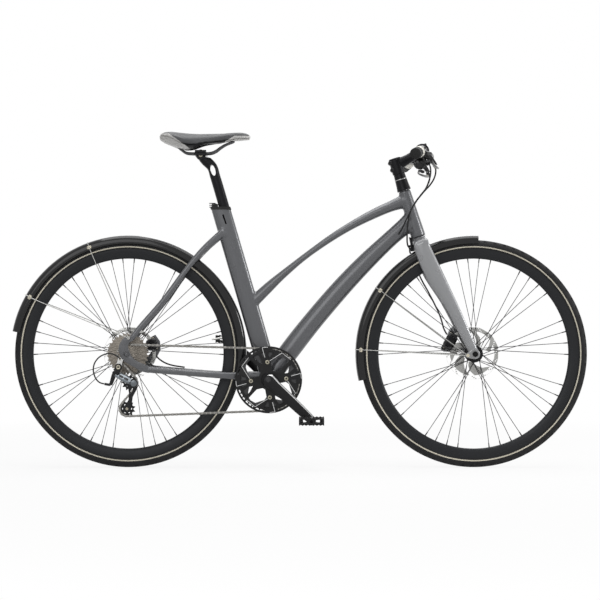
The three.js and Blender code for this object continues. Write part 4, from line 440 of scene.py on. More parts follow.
def cut(piece, *tools):
    """Takes the tools away from the piece."""
    for tool in tools:
        apply(piece, "BOOLEAN", object=tool, operation="DIFFERENCE", solver="EXACT")
        bpy.data.objects.remove(tool)
    return piece


def done(piece, body, slot, *nodes):
    """Gives a finished piece its body and hides the CAD nodes that it stands for; the slot is not used."""
    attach(piece, body)
    if nodes:
        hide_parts(*nodes)
    return piece


def bowed(name, low, high, bow, depth, width, shares, power):
    """A hydroformed tube that bows upwards, from shares along it, of its depth and of its width."""
    return station_tube(name, [
        [*(between(low, high, share) + Vector((0, 0, 4 * bow * share * (1 - share)))), depth * d, width * w]
        for share, d, w in shares], 9, 72, power)


def box(x_low, x_high, z_low, z_high):
    """The outline of an upright rectangle."""
    return [(x_low, z_low), (x_high, z_low), (x_high, z_high), (x_low, z_high)]


def round_outline(radius, count=24, x=0.0, z=0.0):
    return [(x + radius * math.cos(2 * math.pi * i / count),
             z + radius * math.sin(2 * math.pi * i / count)) for i in range(count)]


# Metallic lacquer, satin: mid grey that brightens softly where a tube turns up to the lamps
frame_grey = surface("satin_grey_metallic_lacquer", "#56575a", "#5f6063", 2.0, 0.34, (0.26, 0.32), coat=0.25)
dropout_half = 70.5
guard_seat_radius = 358.6
seat_length = 540
seat_tube_top = 784.6
# The post stands this far ahead of the seat tube's own middle line
post_ahead = 11
stay_top = on_seat_tube(seat_length - 77, 0, 0)
shell_half = left_axis * 36.5
tubes = [
    straight("head_tube", on_head(146, 0, 0), on_head(0, 0, 0), 22.5, 48, 18.5),
    bowed("top_tube", on_seat_tube(230, 0, 0), on_head(30, -6, 0), 39, 32, 36, [
        (0, 1.15, 0.9), (0.12, 1, 0.88), (0.22, 0.76, 0.8), (0.36, 0.6, 0.74), (0.52, 0.68, 0.78),
        (0.66, 0.78, 0.86), (0.8, 0.95, 0.96), (0.91, 1.05, 1), (1, 1.4, 1)], 2.0),
    bowed("down_tube", bottom_bracket, on_head(92, -4, 0), 33, 60, 54, [
        (0, 0.92, 1.15), (0.14, 1.02, 1.08), (0.3, 1, 1), (0.5, 0.97, 1), (0.68, 0.9, 0.96),
        (0.84, 0.82, 0.86), (0.94, 0.86, 0.76), (1, 1, 0.7)], 1.95),
    station_tube("seat_tube", [
        [*on_seat_tube(-6, 0, 0), 56.5, 44], [*on_seat_tube(86, 0, 0), 56.5, 34],
        [*on_seat_tube(300, 0, 0), 57.5, 36.5], [*on_seat_tube(seat_length + 14, 0, 0), 57.5, 38]], 8, 72, 2.5),
    straight("bracket_shell", bottom_bracket - shell_half, bottom_bracket + shell_half, 24.5, 48),
]
# Each stay runs by shares of the way back, down and out to the dropout, with its depth and width
seatstay = [(0.04, 0, 0.2, 25, 20), (0.241, 0.16, 0.46, 20.52, 16.8), (0.434, 0.36, 0.56, 18, 15),
            (0.665, 0.64, 0.69, 18, 15), (0.896, 0.88, 0.86, 18, 15), (1, 1, 0.9, 18, 15)]
chainstay = [(0, 0, 0.44, 29, 16.5), (0.12, 0.05, 0.46, 26.68, 16.5), (0.24, 0.12, 0.5, 23.2, 16.5),
             (0.46, 0.3, 0.73, 19.14, 16.5), (0.72, 0.62, 0.89, 18.56, 16.5), (1, 1, 0.93, 20.3, 16.5)]
bridge = []
for side in (-1, 1):
    for start, end, shares, power in (
            (stay_top, rear_axle + Vector((14, 0, 46)), seatstay, 2.0),
            (bottom_bracket + Vector((-8, 0, 8)), rear_axle + Vector((54, 0, -45)), chainstay, 2.2)):
        rows = [[start.x + (end.x - start.x) * back, side * out * dropout_half,
                 start.z + (end.z - start.z) * drop, depth, width] for back, drop, out, depth, width in shares]
        tubes.append(station_tube("stay", rows, 8, 40, power))
        if shares is seatstay:
            bridge.append(Vector([between(a, b, 0.2) for a, b in zip(rows[1][:3], rows[2][:3])]))
bridge_centre = (bridge[0] + bridge[1]) / 2
tubes += [straight("bridge", bridge[0], bridge[1], 7),
          straight("mudguard_boss", bridge_centre,
                   rear_axle - (rear_axle - bridge_centre).normalized() * guard_seat_radius, 6)]
frame_skin = fuse(join("frame_tubes", *tubes), 2.2, 18)
frame_skin = cut(
    frame_skin,
    plate("above_seat_tube", Vector((-240, 0, seat_tube_top + 40)), [box(-60, 60, -40, 40)], -40, 40, 0.1),
    plate("pinch_slit", Vector((-227.1, 0, 748.2)), [[(-7.4, 13.6), (-2.8, 15), (6.6, -13.6), (2.2, -15)]],
          -30, -8, 0.4),
    straight("post_bore", on_seat_tube(400, post_ahead, 0), on_seat_tube(560, post_ahead, 0), 16.3),
    straight("bracket_bore", bottom_bracket - left_axis * 60, bottom_bracket + left_axis * 60, 17.2),
    straight("head_bore", on_head(-20, 0, 0), on_head(170, 0, 0), 15.2))
dropout = [(-2, 53), (-10, 47), (-14, 42), (-22, 28), (-24, 16), (-23, 6), (-17, -10), (-10, -20), (6, -30),
           (24, -39), (42, -51), (66, -56), (66, -46), (64, -34), (48, -28), (32, -21), (22, -14), (14, -4),
           (9, 8), (5, 18), (5, 28), (10, 36), (20, 41), (18, 49), (14, 53)]
left_tab = [(20, -16), (48, -28), (66, -34), (80, -14), (92, 10), (90, 36), (76, 56), (64, 50), (72, 30),
            (70, 12), (56, -6), (34, -8)]
pierced_dropout = [dropout, round_outline(5.6), round_outline(2.6, 12, 6, 48)]
plates = [plate("dropout", rear_axle, outlines, low, high, 0.8, 2) for outlines, low, high in (
    (pierced_dropout, -73.5, -67.5), (pierced_dropout, 67.5, 73.5), ([left_tab], 67.6, 73.4))]
frame_skin = coat(join("frame_body", frame_skin, *plates), frame_grey, 50)
done(frame_skin, "frame", "frame_paint", "frame")


# Fork
# Two bladed aluminium legs under a crown, with an alloy steerer pressed into it, in a brighter silver lacquer.
# Forged tips carry the axle, the wire stays and, on the left leg, the two arms of the brake caliper.

# The same lacquer as the frame's, in silver: pale legs with one broad soft highlight
fork_silver = surface("satin_silver_metallic_lacquer", "#8a8b8d", "#969799", 2.0, 0.34, (0.26, 0.32), coat=0.25)
front_axle = Vector((524, 0, 343))
leg_along = (front_axle - head_top).dot(head_down)
leg_forward = (front_axle - head_top).dot(head_forward)
crown_top, leg_top = 146.8, 167
crown_y, fork_tip_y, tip_half = 38, 57, 6.6
fork_parts = [
    straight("crown_race", on_head(crown_top, 0, 0), on_head(162, 0, 0), 22, 40),
    straight("steerer", on_head(150, 0, 0), on_head(-103, 0, 0), 14.3, 40),
]
# Shares of the leg's length, its sweep ahead, its depth, its thickness and its spread
leg = [(0, 0, 0.86, 0.9, 0), (0.1, 0.02, 1, 1, 0.04), (0.27, 0.17, 1.02, 0.96, 0.16),
       (0.49, 0.48, 0.78, 0.8, 0.42), (0.65, 0.66, 0.69, 0.7, 0.62), (0.86, 0.85, 0.6, 0.62, 0.86),
       (1, 1, 0.52, 0.56, 1)]
lug = [(-8, 13), (-22, 4.5), (-29, -1), (-29, -7), (-24, -11), (-8, -14), (6, -12), (8, 10)]
for side in (-1, 1):
    rows = [[*on_head(leg_top + (leg_along - leg_top) * share, leg_forward * ahead,
                      side * (crown_y + (fork_tip_y - crown_y) * spread)), 52 * deep, 24 * thick]
            for share, ahead, deep, thick, spread in leg]
    inner, outer = side * fork_tip_y - tip_half, side * fork_tip_y + tip_half
    fork_parts += [station_tube("leg", rows, 9, 64, 1.9),
                   straight("tip", front_axle + left_axis * inner, front_axle + left_axis * outer, 15, 40),
                   plate("lug", front_axle, [lug], inner, outer, 1.2, 2)]
fork_parts.append(skin("crown", [
    section(on_head(crown_top + 22 * (0.5 + drop), 0, share * 46), head_forward, head_down,
            25 - 3 * abs(share), 12, 24, 3)
    for share, drop in ((-1, 0.62), (-0.85, 0.4), (-0.55, 0.2), (0, 0), (0.55, 0.2), (0.85, 0.4), (1, 0.62))]))
fork_parts += [plate("caliper_arm", front_axle, [outline], 54.9, 60.9, 0.8, 2) for outline in (
    [(-24, 88), (-56, 84), (-68, 74), (-76, 54), (-68, 45), (-54, 57), (-22, 58)],
    [(-12, 14), (-40, 12), (-74, 19), (-90, 22), (-96, 12), (-86, 4), (-60, 3), (-36, 4), (-12, 6)])]
crown_centre = on_head(157.8, 0, 0)
fork_parts.append(straight("mudguard_boss", crown_centre,
                           front_axle - (front_axle - crown_centre).normalized() * guard_seat_radius, 6))
fork_skin = cut(fuse(join("fork_body", *fork_parts), 1.6, 8),
                straight("axle_bore", front_axle - left_axis * 80, front_axle + left_axis * 80, 5.4),
                straight("hub_room", front_axle - left_axis * 50, front_axle + left_axis * 50, 28))
done(coat(fork_skin, fork_silver, 60), "steering", "fork_paint", "fork")


# Wheels
# Narrow 28 inch tyres with a pale reflective stripe on each sidewall, on deep black aluminium rims.
# Thirty-six black steel spokes run in nine groups of four from turned hubs, and a lock ring holds a ground
# steel rotor on each hub's left side.

# Moulded rubber: dull black with no highlight but a grey sheen at the tread
tread_rubber = surface("black_tread_rubber", "#1c1c1d", "#29292a", 1.1, 0.0, (0.62, 0.78), 0.06)
# Reflective tape cured into the sidewall: a pale even cream line
stripe_cream = surface("cream_reflective_stripe", "#cfc8b4", "#ddd7c6", 0.5, 0.0, (0.35, 0.5), 0.01)
# Anodised rim: charcoal with a soft metallic highlight round its curve
rim_black = surface("satin_charcoal_anodising", "#232426", "#2f3032", 0.5, 0.55, (0.34, 0.44), 0.002)
# Anodised turned parts: deep black with a clean narrow highlight
hub_black = surface("black_anodised_alloy", "#161617", "#222224", 0.6, 0.7, (0.28, 0.38), 0.002)
# Oxide-blackened wire: thin dark lines that catch the light along their length
spoke_black = surface("black_oxide_steel_wire", "#262628", "#39393b", 0.7, 0.75, (0.28, 0.4), 0.002)
# Ground steel: bright grey, its fine marks coarsened to 0.35 mm so that they break the reflections
ground_steel = surface("ground_stainless_steel", "#8f8f8d", "#b5b5b2", 0.35, 1.0, (0.26, 0.38), 0.006)
# Blackened brass: near black, slightly warm
brass_nipple = surface("blackened_brass", "#1b1b1b", "#2b2a28", 0.8, 0.7, (0.3, 0.4), 0.002)


def both_sides(half):
    """A profile and its mirror image across the middle plane."""
    return [*half, *[(r, -y) for r, y in reversed(half)]]


tyre_centre_radius, tyre_half, tyre_steps = 327.5, 15.5, 216
tread_angles = [math.radians(a) for a in (-52, -40, -26, -12, 2, 16, 30, 42, 54, 66, 78)]
tyre_profile = both_sides([(312.4, 8.4), *[
    (tyre_centre_radius + tyre_half * math.sin(a), tyre_half * math.cos(a)) for a in tread_angles],
    (342.9, 1.6), (341.9, 0.9)])
rim_profile = both_sides([(312, 8.2), (316.4, 9.4), (317, 10.5), (316.5, 11.4), (313.4, 11.5), (306, 10.9),
                          (298, 9.5), (291.6, 7.6), (288, 5), (286.7, 2.2)])
# Each rotor arm's window, by radius, share of the arm's sixth and lag in degrees
rotor_window = [(28, 0.12, 0), (27.4, 0.36, 0), (28, 0.6, 0), (40, 0.7, 7), (54, 0.8, 17), (67.4, 0.9, 28.6),
                (68, 0.7, 28.6), (68, 0.5, 28.6), (68, 0.3, 28.6), (67.4, 0.12, 28.6), (54, 0.08, 18),
                (40, 0.08, 8)]


def polar(radius, degrees):
    return radius * math.cos(math.radians(degrees)), radius * math.sin(math.radians(degrees))


def facing(degrees):
    """The direction at an angle in the plane of the wheels."""
    x, z = polar(1, degrees)
    return Vector((x, 0, z))


def paint(piece, wanted, material):
    """Gives the faces whose centre, in millimetres, and normal are wanted another material."""
    piece.data.materials.append(material)
    index = len(piece.data.materials) - 1
    for face in piece.data.polygons:
        if wanted(face.center * 1000, face.normal):
            face.material_index = index


def make_wheel(hand, centre, body, flanges, ends, barrel, rotor_y, valve_angle):
    def reach(point):
        return math.hypot(point.x - centre.x, point.z - centre.z)

    # The tread is every third face near the edge, pushed in
    tyre = turned(hand + "_tyre_casing", centre, tyre_profile, tyre_steps)
    pick(tyre)
    bpy.ops.object.mode_set(mode="EDIT")
    bpy.ops.mesh.select_mode(type="FACE")
    bpy.ops.mesh.select_all(action="DESELECT")
    mesh = bmesh.from_edit_mesh(tyre.data)
    for face in mesh.faces:
        c = face.calc_center_median() * 1000
        step = int((math.degrees(math.atan2(c.z - centre.z, c.x - centre.x)) + 400) / (360 / tyre_steps))
        face.select = 335 < reach(c) < 341.2 and step % 3 == (1 if c.y > 0 else 2)
    bmesh.update_edit_mesh(tyre.data)
    bpy.ops.mesh.inset(thickness=0.0011, depth=-0.0009, use_individual=True)
    bpy.ops.object.mode_set(mode="OBJECT")
    coat(tyre, tread_rubber, 32)
    paint(tyre, lambda c, n: 320.9 < reach(c) < 324.1, stripe_cream)
    done(tyre, body, "tyre", hand + "_tyre")

    rim = coat(turned(hand + "_deep_rim", centre, rim_profile, 144), rim_black, 30)
    out = facing(valve_angle)
    valve = [coat(straight("valve", centre + out * low, centre + out * high, radius, count, end), ground_steel)
             for low, high, radius, count, end in (
                 (262, 288, 2.9, 16, 2.9), (282, 286.4, 4.6, 16, 4.6), (255, 262, 1.8, 12, 2.4))]
    done(join(hand + "_rim_and_valve", rim, *valve), body, "rim", hand + "_rim")

    low, high = flanges
    wires = [coat(turned(hand + "_hub_shell", centre, [
        (5.3, ends[0]), (barrel * 0.62, ends[0]), (barrel * 0.8, ends[0] + 2), (barrel * 0.86, low - 5),
        (22, low - 2.6), (25.4, low - 1.7), (26, low - 1), (26, low + 1), (25.4, low + 1.7), (20, low + 2.2),
        (barrel + 2, low + 5), (barrel, low + 9), (barrel - 0.8, (low + high) / 2), (barrel, high - 9),
        (barrel + 2, high - 5), (20, high - 2.2), (25.4, high - 1.7), (26, high - 1), (26, high + 1),
        (25.4, high + 1.7), (24, high + 3.2), (24, rotor_y - 1.2), (17.2, rotor_y - 1.2), (17.2, rotor_y + 4),
        (barrel * 0.68, ends[1] - 1), (barrel * 0.6, ends[1]), (5.3, ends[1])], 64), hub_black, 30)]
    hole_circle, nipple_seat, tangent = 21, 287, 14
    turn = math.degrees(math.asin(tangent / hole_circle) - math.asin(tangent / (nipple_seat - 0.5)))
    for group in range(9):
        for i in range(4):
            offset = (i - 1.5) * 7
            rim_angle = 90 + offset - group * 40
            hx, hz = polar(hole_circle, rim_angle - math.copysign(turn, offset))
            rx, rz = polar(nipple_seat, rim_angle)
            lean = -1.9 if i < 2 else 1.9
            foot = centre + Vector((hx, flanges[i % 2] + lean, hz))
            head = centre + Vector((rx, 1.6 if i % 2 else -1.6, rz))
            along = (head - foot).normalized()
            wires += [
                coat(straight("spoke", foot, head - along * 4, 1.0, 6), spoke_black),
                coat(straight("nipple", head - along * 13, head - along * 0.6, 1.5, 6, 1.9), brass_nipple),
                coat(straight("elbow", foot - left_axis * lean * 1.6, foot + left_axis * lean * 0.3, 1.1, 6),
                     spoke_black)]
    wires.append(coat(turned("lock_ring", centre, [
        (9, rotor_y + 1), (20.5, rotor_y + 1), (20.5, rotor_y + 2.2), (18.6, rotor_y + 4), (9, rotor_y + 4)],
        32), hub_black, 30))
    done(join(hand + "_hub_with_spokes", *wires), body, "hub", hand + "_hub_and_spokes")

    windows = [[polar(r, k * 60 + share * 60 + lag) for r, share, lag in rotor_window] for k in range(6)]
    holes = [round_outline(size, 8, *polar(radius, k * 22.5 + lag)) for k in range(16)
             for radius, lag, size in ((70.6, 0, 1.5), (74, 4, 1.9), (77.4, 8, 1.5))]
    wave = [polar(80 - 1.3 * (0.5 + 0.5 * math.cos(math.radians(a * 12))), a) for a in range(0, 360, 3)]
    disc = plate(hand + "_disc", centre, [wave, *windows, *holes, round_outline(17.5, 32)],
                 rotor_y - 0.9, rotor_y + 0.9, 0.25)
    done(coat(disc, ground_steel, 30), body, "rotor", hand + "_rotor")


make_wheel("front", front_axle, "front_wheel", (-31, 24), (-49.7, 49.7), 15, 39.6, 118)
make_wheel("rear", rear_axle, "rear_wheel", (-19, 35), (-23, 67.2), 17, 52.2, 9.6)

for hand, centre, half, body, finish in (("front", front_axle, 64.3, "steering", hub_black),
                                         ("rear", rear_axle, 73.8, "frame", frame_grey)):
    shaft = turned(hand + "_through_axle", centre, [
        (0.2, -half - 9), (3.2, -half - 9), (3.4, -half - 6.4), (5.6, -half - 6.2), (6.6, -half - 8.4),
        (7.4, -half - 8), (8.5, -half - 4), (8.5, -half - 0.5), (7.8, -half), (5, -half), (5, half),
        (7.8, half), (8.5, half + 0.5), (8.5, half + 4), (7.4, half + 8), (6.4, half + 9), (0.2, half + 9)], 40)
    done(coat(shaft, finish, 32), body, "axle", hand + "_axle")


# Mudguards and their stays
# Thin gloss black channels that follow the tyres, each screwed to the frame or fork at a bridge.
# Stainless wires run from the eyelets to cream nylon clips at the guards' edges.

# Extruded polycarbonate: wet-looking black with sharp white reflections
gloss_black = surface("gloss_black_polycarbonate", "#0f0f10", "#19191a", 6.0, 0.0, (0.1, 0.16), 0.003, coat=0.7)
# Drawn stainless wire: bright thin lines
wire_steel = surface("stainless_stay_wire", "#8a8a88", "#a8a8a5", 0.8, 1.0, (0.22, 0.32), 0.002)
# Natural nylon: a warm cream with a soft sheen
clip_cream = surface("cream_translucent_nylon", "#d8d0b8", "#e6dfcb", 3.0, 0.0, (0.3, 0.4), 0.02)

guard_radius, clip_y = 357, 25.9
guard_half = [(332.2, 23.2), (334, 23.5), (341, 23.2), (347.5, 21.8), (352.2, 18.4), (355, 13.2), (356.6, 6.6)]
guard_outer = [*guard_half, (guard_radius, 0), *[(r, -y) for r, y in reversed(guard_half)]]
guard_inner = [(r - 1.6 * (0.3 + 0.7 * min(1, (r - 330) / 20)), y * 0.93) for r, y in guard_outer]
guard_section = [*guard_outer, *reversed(guard_inner)]


def tube_line(name, points, radius, material, sides=3):
    """A round wire along a smooth curve, in millimetres, made a mesh."""
    line = route_curve(name, [point / 1000 for point in points], radius / 1000, sides, 6)
    return coat(to_mesh(line), material, 60)


for hand, centre, body, first, last, clip_angles, eyelet, eyelet_y in (
        ("rear", rear_axle, "frame", -14, 169, (110, 150), (6, 48), 77.2),
        ("front", front_axle, "steering", 87.7, 193.3, (146, 178), (-22, -4), 67.6)):
    rings = []
    steps = round((last - first) / 3)
    for i in range(steps + 1):
        ux, uz = polar(1, first + (last - first) * i / steps)
        taper = 1 - 0.1 * max(0, 1 - min(i, steps - i) / 2.5)
        rings.append([centre + Vector((ux * r, y * taper, uz * r)) for r, y in guard_section])
    guard = coat(skin(hand + "_guard_channel", rings), gloss_black, 50)
    done(guard, body, "mudguard", hand + "_mudguard")
    pieces = []
    for side in (-1, 1):
        foot = centre + Vector((eyelet[0], side * eyelet_y, eyelet[1]))
        pieces.append(coat(turned("eye", foot, [
            (0.2, -3.3), (4.2, -3.3), (5, -2.4), (5, 2.4), (4.2, 3.3), (2.6, 3.3), (2.4, 2.2), (0.2, 2.2)], 24),
            clip_cream if hand == "front" else wire_steel, 32))
        for angle in clip_angles:
            out, out_left = facing(angle), left_axis * side
            level = Vector((-out.z, 0, out.x))
            edge = centre + out * (guard_radius - 20) + out_left * clip_y
            middle = centre + out * (guard_radius - 16) + out_left * clip_y
            pieces += [
                tube_line("wire", [foot, foot.lerp(edge, 0.5), edge, edge + out * 12,
                                   edge + out * 20 - out_left * 2.5], 1.4, wire_steel),
                coat(skin("clip", [
                    section(middle + out * d, level, left_axis, 6.4 * w, 2.5 * w, 16, 4)
                    for d, w in ((-4.5, 0.7), (-3.6, 1), (3.4, 1), (4.5, 0.7))]), clip_cream, 40),
                coat(straight("clip_screw", middle + out_left * 1.5, middle + out_left * 3.6, 2.4, 12, 2.0),
                     wire_steel, 40)]
    done(join(hand + "_guard_stays", *pieces), body, "stay_wire", hand + "_mudguard_stays")

# The front guard hangs from a black steel bracket bolted behind the fork's crown
bracket = smooth(plate("guard_bracket", Vector((0, 0, 0)), [
    [(329, 695), (341, 692), (344, 676), (344, 652), (333.5, 652), (333.5, 674)]], -8, 8, 1, 2), 36)
bracket_bolt = straight("bracket_bolt", Vector((335, 0, 668)), Vector((327, 0, 667)), 3.4, 20)
done(coat(join("guard_bracket", bracket, bracket_bolt), hub_black), "steering", "mudguard")


# Bottom bracket and crankset
# A sealed cartridge in the shell turns the spindle of the forged right arm, whose spider carries the ring and
# the guard. Black anodised alloy; the arm's top chamfer and the guard's edges are turned back to bare metal.

# Anodised forging: deep black with a narrow soft highlight along the arm
crank_black = surface("black_anodised_forging", "#121213", "#1d1d1f", 0.8, 0.35, (0.26, 0.36), 0.004, coat=0.2)
# Fresh-turned aluminium: thin bright lines
bare_edge = surface("bare_turned_aluminium", "#c4c4c4", "#d8d8d8", 0.5, 1.0, (0.2, 0.3), 0.002)
# Zinc plating: grey with a faint warm cast
bolt_steel = surface("zinc_plated_bolt_steel", "#8d8878", "#a9a496", 0.7, 1.0, (0.25, 0.36), 0.002)
# Moulded filled nylon: black with a dull, slightly grainy sheen
guard_black = surface("black_glass_filled_nylon", "#121213", "#1f1f20", 1.0, 0.0, (0.34, 0.46), 0.02)
# Phosphated steel: dark grey metal with a dull gleam on the teeth
ring_steel = surface("phosphated_ring_steel", "#3a3a3b", "#4c4c4d", 0.6, 0.9, (0.3, 0.42), 0.004)

cartridge = turned("cartridge_cup", bottom_bracket, both_sides([
    (12.3, -41), (19, -41), (21, -40), (22, -38.8), (22, -37), (16.7, -36.8)]), 48)
done(coat(cartridge, hub_black, 30), "frame", "black_alloy", "bottom_bracket")

chain_pitch, roller_radius = 12.7, 3.1


def sprocket(teeth, phase, rise=3.0, valley=3.45):
    """The outline of a sprocket with rounded valleys on its pitch circle and blunt teeth."""
    radius = chain_pitch / (2 * math.sin(math.pi / teeth))
    step = 360 / teeth
    outline = []
    for gap in (phase + k * step for k in range(teeth)):
        cx, cz = polar(radius, gap)
        for lean in (62, 31, 0, -31, -62):
            x, z = polar(valley, gap + 180 + lean)
            outline.append((cx + x, cz + z))
        outline += [polar(radius + rise, gap + step * 0.44), polar(radius + rise, gap + step * 0.56)]
    return outline


# The chain's wheels: centre, middle plane, pitch radius, and which way the chain goes round each
drive_wheels = [(-93.934, 266, -47, 93.0506, -1), (-517.789, 179.405, -54.15, 22.5391, -1),
                (-509.564, 258.022, -54.15, 22.5391, 1), (-518, 343, -54.15, 28.5366, -1)]


def chain_route(count):
    """Walks the chain's pins round the ring, the two pulleys and the engaged cog, one pitch apart."""
    def beside(wheel, heading):
        x, z, y, radius, spin = wheel
        return Vector((x + spin * radius * math.sin(heading), y, z - spin * radius * math.cos(heading)))

    def in_side_view(start, end):
        return Vector((end.x - start.x, end.z - start.z)).length

    following = drive_wheels[1:] + drive_wheels[:1]
    headings = []
    for a, b in zip(drive_wheels, following):
        gap = math.hypot(b[0] - a[0], b[1] - a[1])
        headings.append(math.atan2(b[1] - a[1], b[0] - a[0]) - math.asin((b[4] * b[3] - a[4] * a[3]) / gap))
    path = []
    for a, b, heading, later in zip(drive_wheels, following, headings, headings[1:] + headings[:1]):
        start, end = beside(a, heading), beside(b, heading)
        path += [start.lerp(end, k / 60) for k in range(60)]
        sweep = ((later - heading) * b[4]) % (2 * math.pi)
        path += [beside(b, heading + b[4] * sweep * k / 120) for k in range(120)]
    pins, i, here = [path[0]], 0, path[0]
    while len(pins) < count:
        while in_side_view(here, path[(i + 1) % len(path)]) < chain_pitch:
            i += 1
        low, high = path[i % len(path)], path[(i + 1) % len(path)]
        share_low, share_high = 0.0, 1.0
        for _ in range(20):
            middle = (share_low + share_high) / 2
            if in_side_view(here, low.lerp(high, middle)) < chain_pitch:
                share_low = middle
            else:
                share_high = middle
        here = low.lerp(high, share_low)
        pins.append(here)
    return pins


pins = chain_route(112)


def first_angle(wheel):
    """The angle of a pin that lies on a wheel, where that wheel has a valley."""
    x, z, y, r, spin = drive_wheels[wheel]
    pin = min(pins, key=lambda p: abs(math.hypot(p.x - x, p.z - z) - r) + (0 if abs(p.y - y) < 0.05 else 9))
    return math.degrees(math.atan2(pin.z - z, pin.x - x))


bolt_angles = [4, 94, 184, 274]
# By radius and angle from a bolt: the ring's middle opening, the guard's openings and its bare edges
ring_opening = [(80, -34), (62, -16), (47, -8), (46.5, 0), (47, 8), (62, 16), (80, 34), (82, 45)]
guard_openings = [
    [(58, 81), (88, 60), (88.5, 57), (88, 39), (74, 38), (46, 35), (31, 50), (31, 66), (45, 76)],
    [(51, 18), (64, 15.5), (84, 20), (82, 31), (68, 29)],
    [(66, 3.4), (84, 3), (84.5, 13), (67, 10)],
    [(66, -3.4), (67, -8.4), (84.5, -13), (84, -3)],
    *[[(94.6, between(first, last, k / 6)) for k in range(7)]
      + [(91.2, between(last, first, k / 6)) for k in range(7)]
      for first, last in ((13, 35), (39, 56), (60, 79))]]
guard_edges = [[(57, 83), (89.8, 59.4), (89.6, 57.6), (89.4, 38.5)],
               [(68, 5.6), (97.6, 7.4), (98, 6.6), (98, -2)]]
guard_face, guard_back = -55.6, -52.7


def about_bolts(shapes):
    """Each shape of radius and angle, placed at every bolt in turn."""
    return [[polar(r, start + beyond) for r, beyond in shape] for start in bolt_angles for shape in shapes]


def stripe(points, width):
    """The outline of a narrow band along some points."""
    left, right = [], []
    for i, point in enumerate(points):
        before, after = Vector(points[max(i - 1, 0)]), Vector(points[min(i + 1, len(points) - 1)])
        across = Vector((-(after - before).y, (after - before).x)).normalized() * width / 2
        left.append(tuple(Vector(point) + across))
        right.append(tuple(Vector(point) - across))
    return left + right[::-1]


ring = plate("steel_chainring", bottom_bracket, [
    sprocket(46, first_angle(0)), [point for part in about_bolts([ring_opening]) for point in part]],
    -47.8, -46.2, 0.25)
done(coat(ring, ring_steel, 30), "crank", "chainring", "chainring")

guard = coat(plate("chain_guard_disc", bottom_bracket, [
    round_outline(100.4, 120), round_outline(21, 32), *about_bolts(guard_openings)],
    guard_face, guard_back, 0.5, 2), guard_black, 30)
edges = [coat(plate("edge", bottom_bracket, [stripe(edge, 1.5)], guard_face - 0.5, guard_face + 0.4, 0.2),
              bare_edge) for edge in about_bolts(guard_edges)]
done(join("chain_guard_with_edges", guard, *edges), "crank", "guard", "chain_guard")

crank_length, right_way, left_way = 175, -43, 137
arm_root_y, arm_lean, arm_half_y, arm_width = 57, 12, 6.5, 33


def crank_arm(name, side, direction):
    """A tapered arm with a broad boss and a bare chamfer along its upper edge."""
    out, along, across = left_axis * side, facing(direction), facing(direction + 90)
    upper = across * (-1 if side > 0 else 1)
    shape = [(-1, -1), (1, -1), (1, 0.25), (0.74, 1), (-0.72, 1), (-1, 0.45)]
    rings = []
    for share, width in (
            (-0.075, 0.6), (-0.04, 1.02), (0, 1.22), (0.08, 1.16), (0.16, 1.05), (0.34, 1.02), (0.52, 1),
            (0.7, 0.95), (0.86, 0.88), (0.96, 0.82), (1, 0.8), (1.05, 0.66), (1.073, 0.4)):
        flare = arm_root_y + arm_lean * min(max(share, 0), 1)
        middle = bottom_bracket + along * crank_length * share + out * (flare + arm_half_y)
        thick = 6.4 * (0.72 if share < -0.05 or share > 1.06 else 1)
        rings.append([middle + upper * (arm_width * width / 2 * a) + out * thick * b for a, b in shape])
    arm = apply(skin(name, rings), "BEVEL", width=0.0011, segments=2, limit_method="ANGLE",
                angle_limit=math.radians(28))
    coat(arm, crank_black, 35)
    paint(arm, lambda c, n: 0.45 < n.dot(upper) < 0.98 and n.dot(out) > 0.25, bare_edge)
    end = bottom_bracket + along * crank_length
    bolt = [(0.2, 72.5), (4, 72.5), (4.4, 70.6), (4.6, 70), (6.4, 70.4), (7.4, 70), (7.6, 68), (0.2, 68)]
    shoulder = [(4.7, 68), (9, 68), (9, 76.4), (7, 77.5), (4.7, 77.5)]
    return [arm,
            coat(turned("crank_bolt", bottom_bracket, [(r, side * y) for r, y in bolt], 32), ring_steel, 30),
            coat(turned("pedal_shoulder", end, [(r, side * y) for r, y in shoulder], 24), hub_black, 30),
            coat(straight("pedal_pin", end + out * 66, end + out * 158, 4.55, 24), ground_steel)]


right_parts = crank_arm("right_crank_arm", -1, right_way)
right_parts += [
    coat(straight("spindle", bottom_bracket - left_axis * 60, bottom_bracket + left_axis * 64, 12, 40),
         ground_steel),
    coat(turned("spider_boss", bottom_bracket, [
        (11, -60), (20, -60), (21.5, -58), (21, -50), (19.5, -44), (11, -43)], 48), crank_black, 30)]
arm_half = [(15, -52), (27, -19), (48, -9), (57.5, -5)]
arm_shape = arm_half + [(59.5, 0)] + [(r, -a) for r, a in arm_half[::-1]]
for angle, outline in zip(bolt_angles, about_bolts([arm_shape])):
    right_parts += [
        coat(plate("spider_arm", bottom_bracket, [outline], -52.4, -48.1, 0.9, 2), crank_black, 40),
        coat(turned("ring_bolt", bottom_bracket + facing(angle) * 53, [
            (2.6, -57), (4.6, -57.2), (6, -56.8), (6.4, -55.8), (6.4, -45), (2.8, -45), (2.6, -54)], 24),
            bolt_steel, 30)]
done(join("right_crank_with_spider", *right_parts), "crank", "crank", "right_crank")
left_parts = crank_arm("left_crank_arm", 1, left_way)
left_parts.append(coat(turned("left_boss", bottom_bracket, [
    (12.4, 44), (18, 44), (19.5, 46), (21, 58), (12.4, 58)], 48), crank_black, 30))
done(join("left_crank_with_boss", *left_parts), "crank", "crank", "left_crank")


# Pedals
# Plain city pedals: a moulded black plastic barrel between two serrated cage rails.
# Each turns freely on a steel pin that is screwed into its crank.

